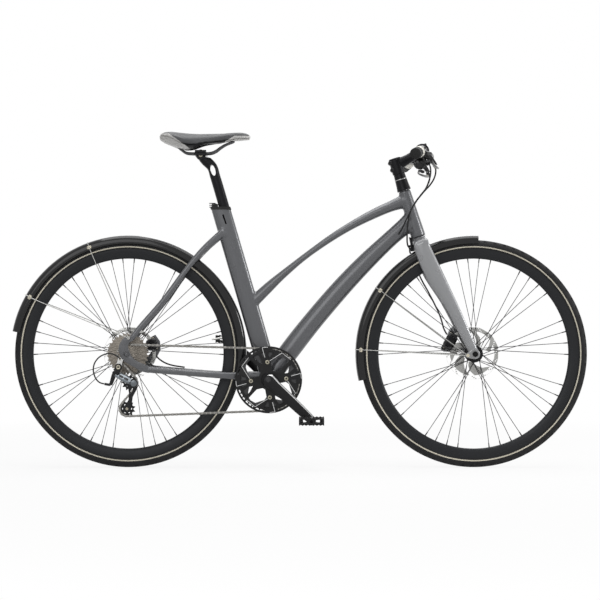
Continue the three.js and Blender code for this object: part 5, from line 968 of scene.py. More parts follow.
# Moulded plastic: a flat dark grey-black with almost no highlight
pedal_black = surface("moulded_black_pedal_plastic", "#121213", "#1e1e1f", 0.9, 0.0, (0.42, 0.55), 0.03)
serration = [(-37 + 74 * k / 14, -12 if k % 2 == 0 else -9.4) for k in range(15)]
cage = serration + [(37.4, 0)] + [(x, -z) for x, z in reversed(serration)] + [(-37.4, 0)]
half_hole = [(13, -4.5), (24, -6), (31, -5), (31, 5), (24, 6), (13, 4.5)]
holes = [[(s * x, z) for x, z in half_hole] for s in (-1, 1)]
small_holes = [[(x * 0.8, z * 0.7) for x, z in hole] for hole in holes]
end_bar = [(30, -7), (36.4, -7), (37, 0), (36.4, 7), (30, 7)]
barrel = [(4.9, 86), (10, 86), (11.2, 90), (9.4, 100), (9, 122), (9.4, 146), (11.2, 154), (8.5, 157.6),
          (4.9, 157.8)]
for hand, side, way in (("right", -1, right_way), ("left", 1, left_way)):
    centre = bottom_bracket + facing(way) * crank_length
    parts = [plate("cage", centre, outlines, side * low, side * high, bevel, 2)
             for outlines, low, high, bevel in (
                 ([cage, *holes], 86, 90, 0.7), ([cage, *holes], 154, 158, 0.7),
                 ([[(x * 0.8, z * 0.62) for x, z in cage], *small_holes], 118, 126, 0.7),
                 ([[(-x, z) for x, z in end_bar]], 86.5, 157.5, 0.9), ([end_bar], 86.5, 157.5, 0.9))]
    parts.append(turned("barrel", centre, [(r, side * y) for r, y in barrel], 32))
    done(coat(join(hand + "_cage_pedal", *parts), pedal_black, 40), hand + "_pedal", "pedal", hand + "_pedal")


# Chain
# 112 half-inch links in oiled steel: inner links with rollers, and outer links riveted through them.
# One link of each kind is made and then laid along the route, turned to the chain's run at every pin.

# Oiled pressed steel: warm mid grey plates with soft highlights
link_steel = surface("oiled_chain_steel", "#6a6966", "#84827e", 1.4, 1.0, (0.26, 0.4), 0.004)
# Rollers and rivet heads polished by use: lighter dots between the plates
roller_steel = surface("polished_roller_steel", "#9a9894", "#b0aeaa", 1.0, 1.0, (0.2, 0.3), 0.002)


def chain_link(name, end_radius, waist, plate_sides, pin_radius, pin_half, count):
    """One pitch of the chain along +X from the origin: two plates, and its pins or rollers."""
    outline = [*[polar(end_radius, a) for a in (-120, -150, 180, 150, 120)], (chain_pitch / 2, waist),
               *[(chain_pitch + x, z) for x, z in (polar(end_radius, a) for a in (60, 30, 0, -30, -60))],
               (chain_pitch / 2, -waist)]
    plates = [coat(plate("link_plate", Vector((0, 0, 0)), [outline], y, y + 0.8, 0.12), link_steel)
              for y in plate_sides]
    return join(name, *plates, *[
        coat(straight("link_pin", Vector((x, -pin_half, 0)), Vector((x, pin_half, 0)), pin_radius, count),
             roller_steel) for x in (0, chain_pitch)])


patterns = [chain_link("inner_link", 4.1, 3.0, (-1.85, 1.05), roller_radius, 1.1, 12),
            chain_link("outer_link", 3.9, 2.7, (-2.75, 1.95), 1.7, 2.9, 8)]
links = []
for i, pin in enumerate(pins):
    along = (pins[(i + 1) % len(pins)] - pin).normalized()
    up = left_axis.cross(along).normalized()
    across = up.cross(along).normalized()
    link = bpy.data.objects.new("link", patterns[i % 2].data.copy())
    bpy.context.collection.objects.link(link)
    link.data.transform(Matrix.Translation(pin / 1000) @ Matrix((along, across, up)).transposed().to_4x4())
    links.append(link)
for pattern in patterns:
    bpy.data.objects.remove(pattern)
done(smooth(join("roller_chain", *links), 35), "frame", "chain", "chain")


# Cassette
# Ten pressed steel sprockets, nickel plated, held apart by spacers on the freehub and locked by a ring.
# The largest is pierced, and the third smallest carries the chain.

# Nickel plate over pressed steel: a warm brownish grey with dull soft highlights
nickel = surface("nickel_plated_steel", "#77716a", "#8b857c", 0.6, 0.85, (0.36, 0.48), 0.004)
engaged_sprocket = 7
first_y, spacing = -26.5, 3.95
parts = []
for i, teeth in enumerate([30, 27, 24, 21, 19, 17, 15, 14, 13, 12]):
    y = first_y - i * spacing
    holes = [round_outline(3.6, 10, *polar(34, k * 30)) for k in range(12)] if i == 0 else []
    phase = first_angle(3) if i == engaged_sprocket else i * 17
    parts.append(coat(plate("sprocket", rear_axle, [sprocket(teeth, phase), *holes, round_outline(17, 24)],
                            y - 0.8, y + 0.8, 0.25), nickel))
parts.append(coat(turned("freehub", rear_axle, [
    (5.4, -65.4), (13.5, -65.4), (15.4, -65), (15.8, -63), (18.6, -62.4), (19, -61), (19, -26), (17, -25.6),
    (5.4, -25.6)], 48), nickel))
# Dark steel pegs stand at the lock ring's twelve tool notches: painted shade in place of the notches' hollows
for shaded_notch in (rear_axle + facing(a) * 14.4 for a in range(0, 360, 30)):
    parts.append(coat(straight("shaded_notch", shaded_notch - left_axis * 66, shaded_notch - left_axis * 62, 1.3, 8), ring_steel))
done(smooth(join("nickel_cassette", *parts), 32), "cassette", "sprockets", "cassette")


# Derailleur and its hanger
# A replaceable alloy hanger bolts to the right dropout; the derailleur's knuckle pivots on it.
# Two parallel links carry the lower knuckle, and a sprung steel cage holds the guide and tension pulleys.

# Painted casting: black with soft, slightly uneven highlights
mech_black = surface("black_painted_casting", "#131314", "#202022", 0.9, 0.2, (0.24, 0.36), 0.01, coat=0.3)
# Lacquered alloy: a dark blue-grey that mirrors the white round it
mech_silver = surface("blue_grey_lacquered_alloy", "#565b5f", "#6d7378", 0.8, 0.8, (0.22, 0.32), 0.004,
                      coat=0.4)
# Tumbled aluminium: pale grey, evenly matt
bare_alloy = surface("tumbled_bare_aluminium", "#b3b3b2", "#c9c9c7", 0.8, 1.0, (0.3, 0.42), 0.01)
# Moulded acetal: smooth black with a waxy sheen
pulley_black = surface("black_acetal", "#151516", "#202021", 0.8, 0.0, (0.34, 0.46), 0.01)


def cast(node, material=None, voxel=0.8, rounds=5):
    """A copy of a CAD node, melted into one skin with its corners eased, as a casting's are."""
    copy = bpy.data.objects.new(node + "_casting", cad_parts[node].data.copy())
    bpy.context.collection.objects.link(copy)
    pick(copy)
    bpy.ops.object.mode_set(mode="EDIT")
    bpy.ops.mesh.select_all(action="SELECT")
    bpy.ops.mesh.remove_doubles(threshold=1e-6)
    bpy.ops.object.mode_set(mode="OBJECT")
    fuse(copy, voxel, rounds)
    return coat(copy, material) if material else copy


def side_bolt(place, side, radius, material, stand=2.5):
    """A socket screw's head that faces the side, with its recess."""
    return coat(turned("screw", place, [
        (0.2, side * stand * 0.3), (radius * 0.45, side * stand * 0.3), (radius * 0.5, side * stand),
        (radius * 0.85, side * stand), (radius, side * stand * 0.7), (radius, side * -1.5), (0.2, side * -1.5)],
        24), material, 30)


hanger_bolt = rear_axle + Vector((-23, 0, -38))
knuckle_pivot = rear_axle + Vector((-30, -72, -59))
pivot_step = Vector((53, 0, -27))
cage_pivot = knuckle_pivot + pivot_step
hanger = cut(plate("hanger_plate", rear_axle, [
    [(-20, -8), (-14, -12), (-11, -18), (-12, -26), (-13, -34), (-13, -41), (-18, -47.6), (-24, -48.4),
     (-30, -45), (-32, -38), (-31, -31), (-28, -25), (-26, -18), (-24, -11)]], -78.8, -73.8, 0.9, 2),
    straight("hanger_thread", hanger_bolt - left_axis * 90, hanger_bolt - left_axis * 60, 4, 24))
hanger_screw = side_bolt(rear_axle + Vector((-19, -78.6, -15)), -1, 3.4, bolt_steel)
done(join("drop_hanger", coat(hanger, bare_alloy, 40), hanger_screw), "frame", "silver_alloy",
     "derailleur_hanger")

knuckle = cast("derailleur_knuckle", mech_black)
knuckle_bolt = coat(turned("pivot_bolt", hanger_bolt, [
    (2.4, -88), (2.6, -91.2), (5.4, -91.6), (6.6, -91), (6.9, -89), (2.4, -88)], 32), bolt_steel, 30)
barrel_ribs = [coat(straight("barrel_rib", Vector((-566 - 3.2 * k, -85, 252.2 + 0.5 * k)),
                             Vector((-567.6 - 3.2 * k, -85, 252.5 + 0.5 * k)), 4.1, 16), mech_black)
               for k in range(5)]
done(join("upper_knuckle", knuckle, knuckle_bolt, *barrel_ribs), "derailleur_knuckle", "derailleur",
     "derailleur_knuckle")

link_run = pivot_step.normalized()
link_swing = Vector((-0.28, 0.78, -0.55)).normalized()
link_axis = link_run.cross(link_swing).normalized()
for name, y, heights, belly, material in (
        ("outer", -85.5, (8.4, 11, 12.4, 12, 9), (0, -1.2, -1.8, -1.2, 0), mech_silver),
        ("inner", -76, (4.6, 5.2, 5.4, 5.2, 4.6), (0, 0, 0, 0, 0), mech_black)):
    first = Vector((knuckle_pivot.x, y, knuckle_pivot.z))
    last = Vector((cage_pivot.x, y, cage_pivot.z)) - link_run * 9
    rings = [section(first.lerp(last, share) + left_axis * bulge, link_swing, link_axis, 1.9, height, 20, 3.2)
             for share, height, bulge in zip((-0.06, 0.22, 0.5, 0.78, 1.06), heights, belly)]
    parts = [coat(skin(name + "_arm", rings), material, 50)]
    if name == "outer":
        recess = [section(first.lerp(last, share) - left_axis * 1.4 - link_swing * 1.2, link_swing, link_axis,
                          1.0, height, 20, 3)
                  for share, height in ((0.2, 3.4), (0.32, 5), (0.5, 5.6), (0.68, 5.2), (0.8, 3.4))]
        parts.append(coat(skin("link_recess", recess), mech_black, 50))
    for place in (first, last):
        parts += [
            coat(straight("link_pin", place - link_axis * half, place + link_axis * half, radius, 20), finish)
            for half, radius, finish in ((5.4, 3.1, bolt_steel), (4.6, 3.9, material))]
    done(smooth(join("derailleur_" + name + "_arm", *parts), 50), name + "_link", "derailleur",
         "derailleur_" + name + "_link")

cap = coat(turned("spring_cap", Vector((cage_pivot.x, 0, cage_pivot.z)), [
    (0.2, -93.8), (7.5, -93.8), (9.5, -93), (10.2, -91.6), (0.2, -91.6)], 40), mech_silver, 30)
done(join("lower_knuckle_casting", cast("derailleur_lower_knuckle", mech_black), cap), "lower_knuckle",
     "derailleur", "derailleur_lower_knuckle")

tension, guide = [Vector((x, 0, z)) for x, z, *_ in drive_wheels[1:3]]
cog_y = drive_wheels[1][2]
cage_outline = [(cage_pivot.x - 7, cage_pivot.z + 12), (cage_pivot.x + 3, cage_pivot.z + 12.4),
                (cage_pivot.x + 11, cage_pivot.z + 4), (cage_pivot.x + 11, cage_pivot.z - 8),
                (cage_pivot.x + 3.5, cage_pivot.z - 24), (-501.5, 214), (-503, 200), (-504, 190),
                (tension.x + 11.5, 178), (tension.x + 9, 170), (tension.x + 1, 167.6), (tension.x - 8, 169),
                (tension.x - 12.4, 176), (tension.x - 11, 186), (-517, 196), (-513, 208), (-511.5, 224),
                (-514, 240), (guide.x - 9.6, 252), (guide.x - 9.4, 263), (guide.x - 4, 268)]
hole = [(-507.5, 226), (-503, 229), (-500, 236), (-500.5, 243), (-505, 241), (-508.5, 234)]
parts = [coat(plate("cage_plate", Vector((0, 0, 0)), [cage_outline, hole], low, high, 0.35, 2), mech_black, 40)
         for low, high in ((-61.2, -59.5), (-48.8, -47.1))]
for wheel in (guide, tension):
    parts += [coat(straight("pulley_pin", wheel + left_axis * -60.6, wheel + left_axis * -47.6, 2.4, 20),
                   bolt_steel),
              side_bolt(wheel + left_axis * -61.2, -1, 4.2, bolt_steel, 1.3)]
done(join("pulley_cage", *parts), "cage", "derailleur", "derailleur_cage")
for name, index, wheel in (("guide", 2, guide), ("tension", 1, tension)):
    holes = [round_outline(2.6, 10, *polar(12.6, k * 60)) for k in range(6)]
    middle = wheel + left_axis * cog_y
    teeth = sprocket(11, first_angle(index), 2.6)
    parts = [coat(plate("pulley_disc", wheel, [teeth, *holes, round_outline(6, 20)],
                        cog_y - 1.1, cog_y + 1.1, 0.3, 2), pulley_black),
             coat(turned("pulley_bush", middle, both_sides([(2.9, -4.9), (6.6, -4.9), (7.6, -4)]), 32),
                  pulley_black),
             coat(turned("pulley_seal", middle, both_sides([(3.2, -5.2), (5, -5.2)]), 32), bolt_steel)]
    done(smooth(join(name + "_jockey_wheel", *parts), 32), name + "_pulley", "pulley", name + "_pulley")


# Brake calipers
# Two-piston hydraulic calipers, cast in two halves and bolted over the rotor, painted black.
# Cooling fins run along the back, and the hose comes in by a banjo bolt.
for hand, centre, rotor_y, angle, radius, reach, banjo_way, body in (
        ("front", front_axle, 39.6, 152, 76, 50, 1, "steering"),
        ("rear", rear_axle, 52.2, 22, 72, 34, -1, "frame")):
    out = facing(angle)
    along = Vector((-out.z, 0, out.x))
    middle = centre + out * radius + left_axis * rotor_y
    parts = [cast(hand + "_caliper", mech_black)]
    for k in (-1, 0, 1):
        place = middle + along * (k * reach * 0.2) + out * 13
        parts.append(coat(skin("fin", [section(place + out * d, along, left_axis, 1.4, half, 16, 3)
                                       for d, half in ((-3, 12), (2, 11.6), (4, 10))]), mech_black, 40))
    for k in (-1, 1):
        place = centre + out * (radius + 8.5) + along * (k * 0.62 * reach * 0.72) + left_axis * (rotor_y + 1)
        parts += [coat(straight("mount_bolt", place, place + left_axis * 8, 4.6, 12), bolt_steel),
                  side_bolt(place, -1, 4.4, bolt_steel, 3),
                  coat(turned("piston_cap", middle + out * 3 + along * (k * reach * 0.2) - left_axis * 15.2, [
                      (0.2, -2), (6, -2), (7.4, -1), (7.6, 1), (0.2, 1)], 32), hub_black, 30)]
    banjo = centre + out * (radius + 4) + along * (banjo_way * reach * 0.44)
    parts.append(side_bolt(banjo + left_axis * (rotor_y - 11), -1, 5, mech_black, 4))
    done(join(hand + "_brake_caliper", *parts), body, "caliper", hand + "_caliper")


# Seatpost and its collar
# A forged aluminium post, black anodised, with an oval window through its neck and a pocket for the clamp's
# drum. A split collar with three short tongues behind holds it in the seat tube.

# Anodised post: black with a long clean highlight
post_black = surface("black_anodised_post", "#17171a", "#242426", 0.6, 0.7, (0.26, 0.38), 0.003)
cradle = Vector((-299.443, 0, 942.261))
neck = on_seat_tube(664, 10, 0)
post_size = 31.6
post = station_tube("post_body", [
    *[[*on_seat_tube(along, post_ahead, 0), post_size, post_size] for along in (375, 520, 600)],
    [*on_seat_tube(636, 10.6, 0), 31.2, 31.2], [*neck, 31.5, 31], [*cradle.lerp(neck, 0.45), 32, 32],
    [*cradle.lerp(neck, 0.14), 29, 32]], 5, 40, 2.05)
window = [(spot.x, spot.z) for spot in section(Vector((0, 0, 0)), seat_up, seat_forward, 17, 7, 28)]
post = cut(
    post,
    plate("post_window", Vector((-262.5, 0, 896.2)), [window], -30, 30, 0.1),
    straight("drum_pocket", cradle - left_axis * 30, cradle + left_axis * 30, 15.35, 64),
    plate("above_the_head", cradle, [[(-70, -15.6), (0, -3), (70, -15.6), (70, 70), (-70, 70)]], -40, 40, 0.1))
done(coat(post, post_black, 36), "seatpost", "black_alloy", "seatpost")

level_low, level_high = seat_tube_top - 7, seat_tube_top + 2
above_tube = Vector((-240, 0, 0))
band, hollow = [station_tube(name, [[*on_seat_tube(seat_length + along, 0, 0), depth, width] for along in ends],
                             2, 48, 2.5)
                for name, ends, depth, width in (("collar_band", (-34, 24), 60.5, 41),
                                                 ("collar_hollow", (-44, 20), 57.7, 38.1))]
lid, above_collar, below_collar = [
    plate("collar_trim", above_tube, [box(-70, 70, low, high)], -40, 40, 0.1) for low, high in (
        (seat_tube_top + 0.1, seat_tube_top + 60), (level_high, level_high + 60), (level_low - 90, level_low))]
post_way = straight("post_way", on_seat_tube(seat_length - 60, post_ahead, 0),
                    on_seat_tube(seat_length + 60, post_ahead, 0), 15.95, 48)
collar = cut(band, cut(hollow, lid), above_collar, below_collar, post_way)
parts = [coat(collar, gloss_black, 36)]
for outline, z, half in (*[(box(-11.5, 7, -1.2, 1.2), z, 8) for z in (785.4, 791.2, 797)],
                         ([(-5, -6), (15, -6), (15, 3), (6, 6.4), (-3.5, 6.4)], 791, 5)):
    parts.append(coat(plate("tongue", Vector((-262.5, 0, z)), [outline], -half, half, 0.5, 2), gloss_black, 30))
done(join("post_collar", *parts), "frame", "black_alloy", "seat_collar")


# Saddle clamp and rails
# A half-round cradle under the rails and a bar over them, forged and pulled together by one steel bolt.
# The rails are one round wire of chromium-molybdenum steel from the rear sockets to the nose.

# Lacquered steel wire: dark grey with a thin bright line along its top
rail_steel = surface("black_lacquered_rail_wire", "#3a3a3c", "#4c4c4e", 0.9, 0.8, (0.24, 0.34), 0.002)
rail_path = [(-68, 24, 1.05), (-57, 15, 1), (-45, 7, 1), (-30, 4.5, 1), (0, 5, 1), (30, 5.5, 1), (45, 11, 0.92),
             (60, 22, 0.74), (77, 32, 0.5), (97, 39.5, 0.32)]
rail_points = [cradle + Vector((x, -22 * spread, z)) for x, z, spread in rail_path]
rail_points += [cradle + Vector((x, 22 * spread, z)) for x, z, spread in reversed(rail_path)]
clamp_nut = turned("clamp_nut", cradle, [(0.2, 13.6), (0.2, 17.4), (4.4, 17.4), (5.6, 16.4), (5.6, 13.6)], 6,
                   Vector((0, 0, 1)))
clamp_screws = {
    "cradle": [side_bolt(cradle + left_axis * (15 * side), side, 6.2, bolt_steel, 1.6) for side in (-1, 1)],
    "bridge": [coat(clamp_nut, bolt_steel, 30)]}
for name, node in (("cradle", "saddle_clamp_lower"), ("bridge", "saddle_clamp_upper")):
    # The rails slide through, so their groove is cut at each end of the travel as well
    rooms = []
    for slide in (-15, -7.5, 0, 7.5, 15):
        rooms.append(tube_line("slide_room", rail_points, 3.75, rail_steel, 4))
        rooms[-1].data.transform(Matrix.Translation((slide / 1000, 0, 0)))
    forged = coat(cut(cast(node, None, 0.7, 4), *rooms), post_black, 40)
    done(join("rail_" + name, forged, *clamp_screws[name]), "saddle_clamp", "black_alloy", node)

done(tube_line("rail_wire", rail_points, 3.5, rail_steel, 5), "saddle", "saddle_rails", "saddle_rails")


# Saddle
# A moulded nylon shell with raised edges. The foam pad over it is skinned in dark microfibre, with light panels
# sewn in at the tail and under the nose.
saddle_tail, saddle_top, saddle_length = -423.04, 1007.96, 274
# Share of the length, then of the width, and the heights of the pad's top, its edge and the shell's underside
saddle_shape = [
    (0, 0.5, -0.16, -0.26, -0.5), (0.04, 0.8, 0, -0.3, -0.68), (0.12, 0.97, 0.06, -0.42, -0.9),
    (0.24, 1, -0.02, -0.85, -1.2), (0.36, 0.9, -0.08, -0.98, -1.2), (0.5, 0.62, -0.08, -0.78, -0.9),
    (0.64, 0.4, -0.03, -0.66, -0.78), (0.78, 0.29, 0.06, -0.52, -0.6), (0.9, 0.25, 0.09, -0.42, -0.54),
    (0.97, 0.19, -0.02, -0.42, -0.5), (1, 0.1, -0.2, -0.42, -0.48)]
stations = spline_through([[saddle_tail + a * saddle_length, w * 78, *[saddle_top + h * 40 for h in heights]]
                           for a, w, *heights in saddle_shape], 4)


def panelled(name, dark, light, grain, rough, bump):
    """A finish whose light panels run along two sewn lines, one at the tail and one under the nose, with a thin
    line of painted shade darkening each seam.
    """
    made = surface(name, dark, dark, grain, 0.0, rough, bump)
    tree = made.node_tree
    base_colour = tree.nodes["Principled BSDF"].inputs["Base Color"]
    place = add_node(tree, "ShaderNodeTexCoord")
    split = add_node(tree, "ShaderNodeSeparateXYZ", {0: place.outputs["Object"]})
    x, z = split.outputs[0], split.outputs[2]

    def calculate(operation, *values):
        return add_node(tree, "ShaderNodeMath", dict(enumerate(values)), operation=operation).outputs[0]

    def under(x0, z0, slope, top):
        line = calculate("MULTIPLY_ADD", x, slope, z0 - slope * x0)
        return calculate("SUBTRACT", calculate("MINIMUM", line, top), z)

    # The distance inside the light panels, in metres: above zero is light, and at zero is the seam, where
    # painted shade darkens a thin line
    inside = calculate("MAXIMUM", under(-0.393, 1.0034, -0.707, 1.0035), under(-0.224, 0.9838, 0.612, 1.0004))
    # Close to the seam the colour is darkened to a thin line: painted shade standing in for the sewn groove
    near = add_node(tree, "ShaderNodeMapRange", {"Value": inside, "From Min": -0.003, "From Max": 0.003})
    ramp = add_node(tree, "ShaderNodeValToRGB", {0: near.outputs["Result"]})
    stops = ramp.color_ramp.elements
    stops.new(0.62)
    for stop, (position, grey) in zip(stops, ((0.38, 1), (0.5, 0.12), (0.62, 1))):
        stop.position, stop.color = position, (grey, grey, grey, 1)
    panels = add_node(tree, "ShaderNodeMix", {
        0: calculate("GREATER_THAN", inside, 0.0), 6: base_colour.links[0].from_socket, 7: colour(light)},
        data_type="RGBA")
    painted_seam_shade = add_node(tree, "ShaderNodeMix", {0: 1.0, 6: panels.outputs[2], 7: ramp.outputs[0]},
                    data_type="RGBA", blend_type="MULTIPLY")
    tree.links.new(painted_seam_shade.outputs[2], base_colour)
    return made


# Microfibre: a soft matt grey cloth, with light silver panels and a thin dark line of painted shade along the
# sewn seam between
cover = panelled("dark_grey_microfibre", "#414244", "#c4c3c1", 0.9, (0.42, 0.56), 0.05)
# Moulded nylon: black with a dull sheen, light where the panels' covering wraps it, and the same painted shade
# line at the seam
shell_plastic = panelled("moulded_nylon_shell", "#1c1c1e", "#c0bfbd", 0.8, (0.4, 0.52), 0.02)
rings = []
for x, half, top, part, low in stations:
    x, half = 1.5 + saddle_tail + (x - saddle_tail) * 0.982, half - 1.2
    ring = [(half, part - 0.4), (half * 0.97, between(part, low, 0.3)), (half * 0.86, between(part, low, 0.62)),
            (half * 0.66, between(part, low, 0.9)), (half * 0.4, low), (0, low)]
    ring += [(-y, z) for y, z in reversed(ring[:-1])]
    ring += [(-half * 0.5, part - 0.4), (0, part - 0.4), (half * 0.5, part - 0.4)]
    rings.append([Vector((x, y, z)) for y, z in ring])
socket_radius = 3.9
sockets = [straight("rail_socket", end, end + (end - near) * 0.3, socket_radius)
           for end, near in (rail_points[:2], rail_points[:-3:-1])]
shell = cut(
    skin("saddle_base", rings),
    plate("shell_hollow", Vector((saddle_tail + saddle_length * 0.5, 0, saddle_top)), [
        [(-62, -60), (66, -60), (66, -33), (58, -30), (-56, -30), (-62, -34)]], -30, 30, 3, 2),
    tube_line("rail_room", rail_points, socket_radius, rail_steel, 4), *sockets)
done(coat(shell, shell_plastic, 38), "saddle", "saddle_shell", "saddle_shell")

rings = []
for x, half, top, part, low in stations:
    inset = 1.2
    ring = []
    for turn in (math.pi * k / 27 for k in range(28)):
        c, rise = math.cos(turn), abs(math.sin(turn)) ** 0.55
        ring.append(Vector((x, (half - inset) * (1 - 0.05 * (1 - rise)) * math.copysign(abs(c) ** 0.7, c),
                            part + 0.2 + (top - part - inset) * rise)))
    ring += [Vector((x, -(half - inset) * 0.95 * (1 - 2 * (k + 1) / 8), part + 0.2)) for k in range(7)]
    rings.append(ring)


def swell(piece, pressure, most, frames=20):
    """Swells a closed pad as foam under its skin, each point by so many millimetres at the most."""
    held = piece.vertex_groups.new(name="held")
    for v in piece.data.vertices:
        held.add([v.index], 1.0 if v.normal.z < -0.6 else 0.0, "REPLACE")
    start = [v.co.copy() for v in piece.data.vertices]
    cloth = piece.modifiers.new("foam", "CLOTH")
    cloth.settings.use_pressure = True
    cloth.settings.uniform_pressure_force = pressure
    cloth.settings.effector_weights.gravity = 0
    cloth.settings.vertex_group_mass = "held"
    cloth.point_cache.frame_end = frames
    for frame_number in range(1, frames + 1):
        bpy.context.scene.frame_set(frame_number)
    bpy.ops.object.modifier_apply(modifier=cloth.name)
    bpy.context.scene.frame_set(1)
    for v, first in zip(piece.data.vertices, start):
        move = v.co - first
        if move.length > most / 1000:
            v.co = first + move * (most / 1000 / move.length)
    piece.vertex_groups.clear()


pad = apply(skin("saddle_pad", rings), "REMESH", mode="VOXEL", voxel_size=0.004)
swell(pad, 4, 2.2)
apply(pad, "SMOOTH", factor=0.5, iterations=4)
apply(pad, "SUBSURF", levels=1, render_levels=1)
pad = done(coat(pad, cover, 80), "saddle", "saddle_cover", "saddle_cushion")


# Headset, stem and faceplate
# A tapered cover stands on the top bearing. The forged stem clamps the steerer by two bolts behind it, and its
# faceplate holds the bar with four.

# Anodised forging: black with broad soft highlights
forged_black = surface("black_anodised_forging", "#161618", "#232325", 0.7, 0.65, (0.28, 0.4), 0.004)
cone_cover = coat(turned("bearing_cover", head_top, [
    (14.9, -53), (16.5, -53), (17, -52.5), (17.3, -47), (19.4, -16), (20.7, -5), (21, -2.4), (20.6, -0.4),
    (14.9, -0.4)], 64, head_down), forged_black, 34)
seam_ring = coat(turned("bearing_seal", head_top, [
    (15, -36.4), (18.5, -36.4), (18.7, -35.6), (18.6, -34.8), (15, -34.8)], 64, head_down), bare_alloy, 34)
done(join("headset_cover", cone_cover, seam_ring), "steering", "black_alloy", "headset_cone")

bar_centre = on_head(-98, 85, 0)
drum_profile = both_sides([(0.2, -23), (20.6, -23), (22, -21.6)])
pinch_levels = (-70, -92)
stem_parts = [
    straight("stem_column", on_head(-53.4, 0, 0), on_head(-98, 0, 0), 19, 56),
    station_tube("stem_extension", [
        [*on_head(-80, 2, 0), 37, 33], [*on_head(-84, 18, 0), 33, 31], [*on_head(-89, 42, 0), 29, 29.5],
        [*on_head(-95, 66, 0), 29.5, 36], [*on_head(-98, 76, 0), 31, 40]], 5, 36, 2.5),
    turned("bar_drum", bar_centre, drum_profile, 64),
    *[straight("pinch_boss", on_head(along, -16, -14), on_head(along, -16, 14), 7, 28)
      for along in pinch_levels]]
stem_body = fuse(join("stem_forging", *stem_parts), 0.9, 7)


def split_block(low, high):
    """A block square to the head tube, between two distances ahead of the bar's centre."""
    return skin("split", [[
        bar_centre + Vector((2, 0, 0)) + head_forward * a - head_down * b + left_axis * y
        for a, b in ((low, -45), (high, -45), (high, 45), (low, 45))] for y in (-50, 50)])


def bar_bore():
    return straight("bar_bore", bar_centre - left_axis * 40, bar_centre + left_axis * 40, 16, 64)


slots = [straight("pinch_slot", on_head(along, -34, 0) - left_axis * 0.8,
                  on_head(along, -14.6, 0) - left_axis * 0.8, 1.4, 16)
         for along in (-58, -64, -70, -76, -81, -86, -92, -97)]
steerer_bore = straight("steerer_bore", on_head(-40, 0, 0), on_head(-102.9, 0, 0), 14.65, 48)
stem_body = cut(stem_body, split_block(-0.1, 90), steerer_bore, bar_bore(), *slots)
top_cap = coat(turned("steerer_cap", head_top, [
    (0.2, -98.2), (18.2, -98.2), (18.4, -100.6), (17, -102.4), (6, -102.8), (4.4, -101), (0.2, -101)],
    48, head_down), forged_black, 30)
pinch_bolts = [side_bolt(on_head(along, -16, -14), -1, 5.2, gloss_black, 1.6) for along in pinch_levels]
done(join("stem_forging", coat(stem_body, forged_black, 40), top_cap, *pinch_bolts), "steering", "black_alloy",
     "stem")

face = cut(turned("bar_faceplate", bar_centre, drum_profile, 64), split_block(-90, 0.1), bar_bore(),
           straight("face_window", bar_centre + head_forward * 8, bar_centre + head_forward * 40, 9, 40))
bolt = [(0.2, 0), (2, 0), (2.3, 3.4), (4, 3.4), (4.4, 2.6), (4.4, -4), (0.2, -4)]
face_bolts = [coat(turned("face_bolt", bar_centre + head_forward * 15.5 - head_down * level + left_axis * y,
                          bolt, 20, head_forward), gloss_black, 30)
              for level in (-15.4, 15.4) for y in (-15.5, 15.5)]
done(join("stem_faceplate_forging", coat(face, forged_black, 36), *face_bolts), "steering", "black_alloy",
     "stem_faceplate")


# Handlebar and grips
# A butted aluminium bar, black anodised, swept back and down at its ends.
# Moulded rubber grips with fine ribs are pushed over it, each with a pale band at its inner end.
bar_half = 300


def bar_point(side, share):
    """The bar's centre line at a share of its half width, on one side."""
    stops, sweeps = [0, 0.12, 0.2, 0.4, 0.7, 1, 1.2], [0, 0, 0.06, 0.28, 0.62, 1, 1]
    i = max(k for k in range(len(stops) - 1) if share >= stops[k])
    sweep = between(sweeps[i], sweeps[i + 1], (share - stops[i]) / (stops[i + 1] - stops[i]))
    return Vector((bar_centre.x - 36 * sweep, side * share * bar_half, bar_centre.z - 28 * sweep))


def bar_ring(centre, radius, count):
    return section(centre, Vector((1, 0, 0)), Vector((0, 0, 1)), radius, radius, count)


bar_rows = [*[(share, 15.9) for share in (0.004, 0.06, 0.118)], (0.135, 15.2), (0.16, 13.2), (0.185, 11.5),
            *[(share, 11.1) for share in (0.205, 0.3, 0.4, 0.55, 0.7, 0.85, 1.0)]]
bar_tube = skin("bar_tube", [bar_ring(bar_point(-1, share), radius, 40) for share, radius in bar_rows[::-1]]
                + [bar_ring(bar_point(1, share), radius, 40) for share, radius in bar_rows])
done(coat(bar_tube, forged_black, 50), "steering", "black_alloy", "handlebar")

# Moulded rubber: dull black, its ribs drawn in the shape
grip_rubber = surface("ribbed_grip_rubber", "#191919", "#262626", 1.1, 0.0, (0.6, 0.74), 0.06)
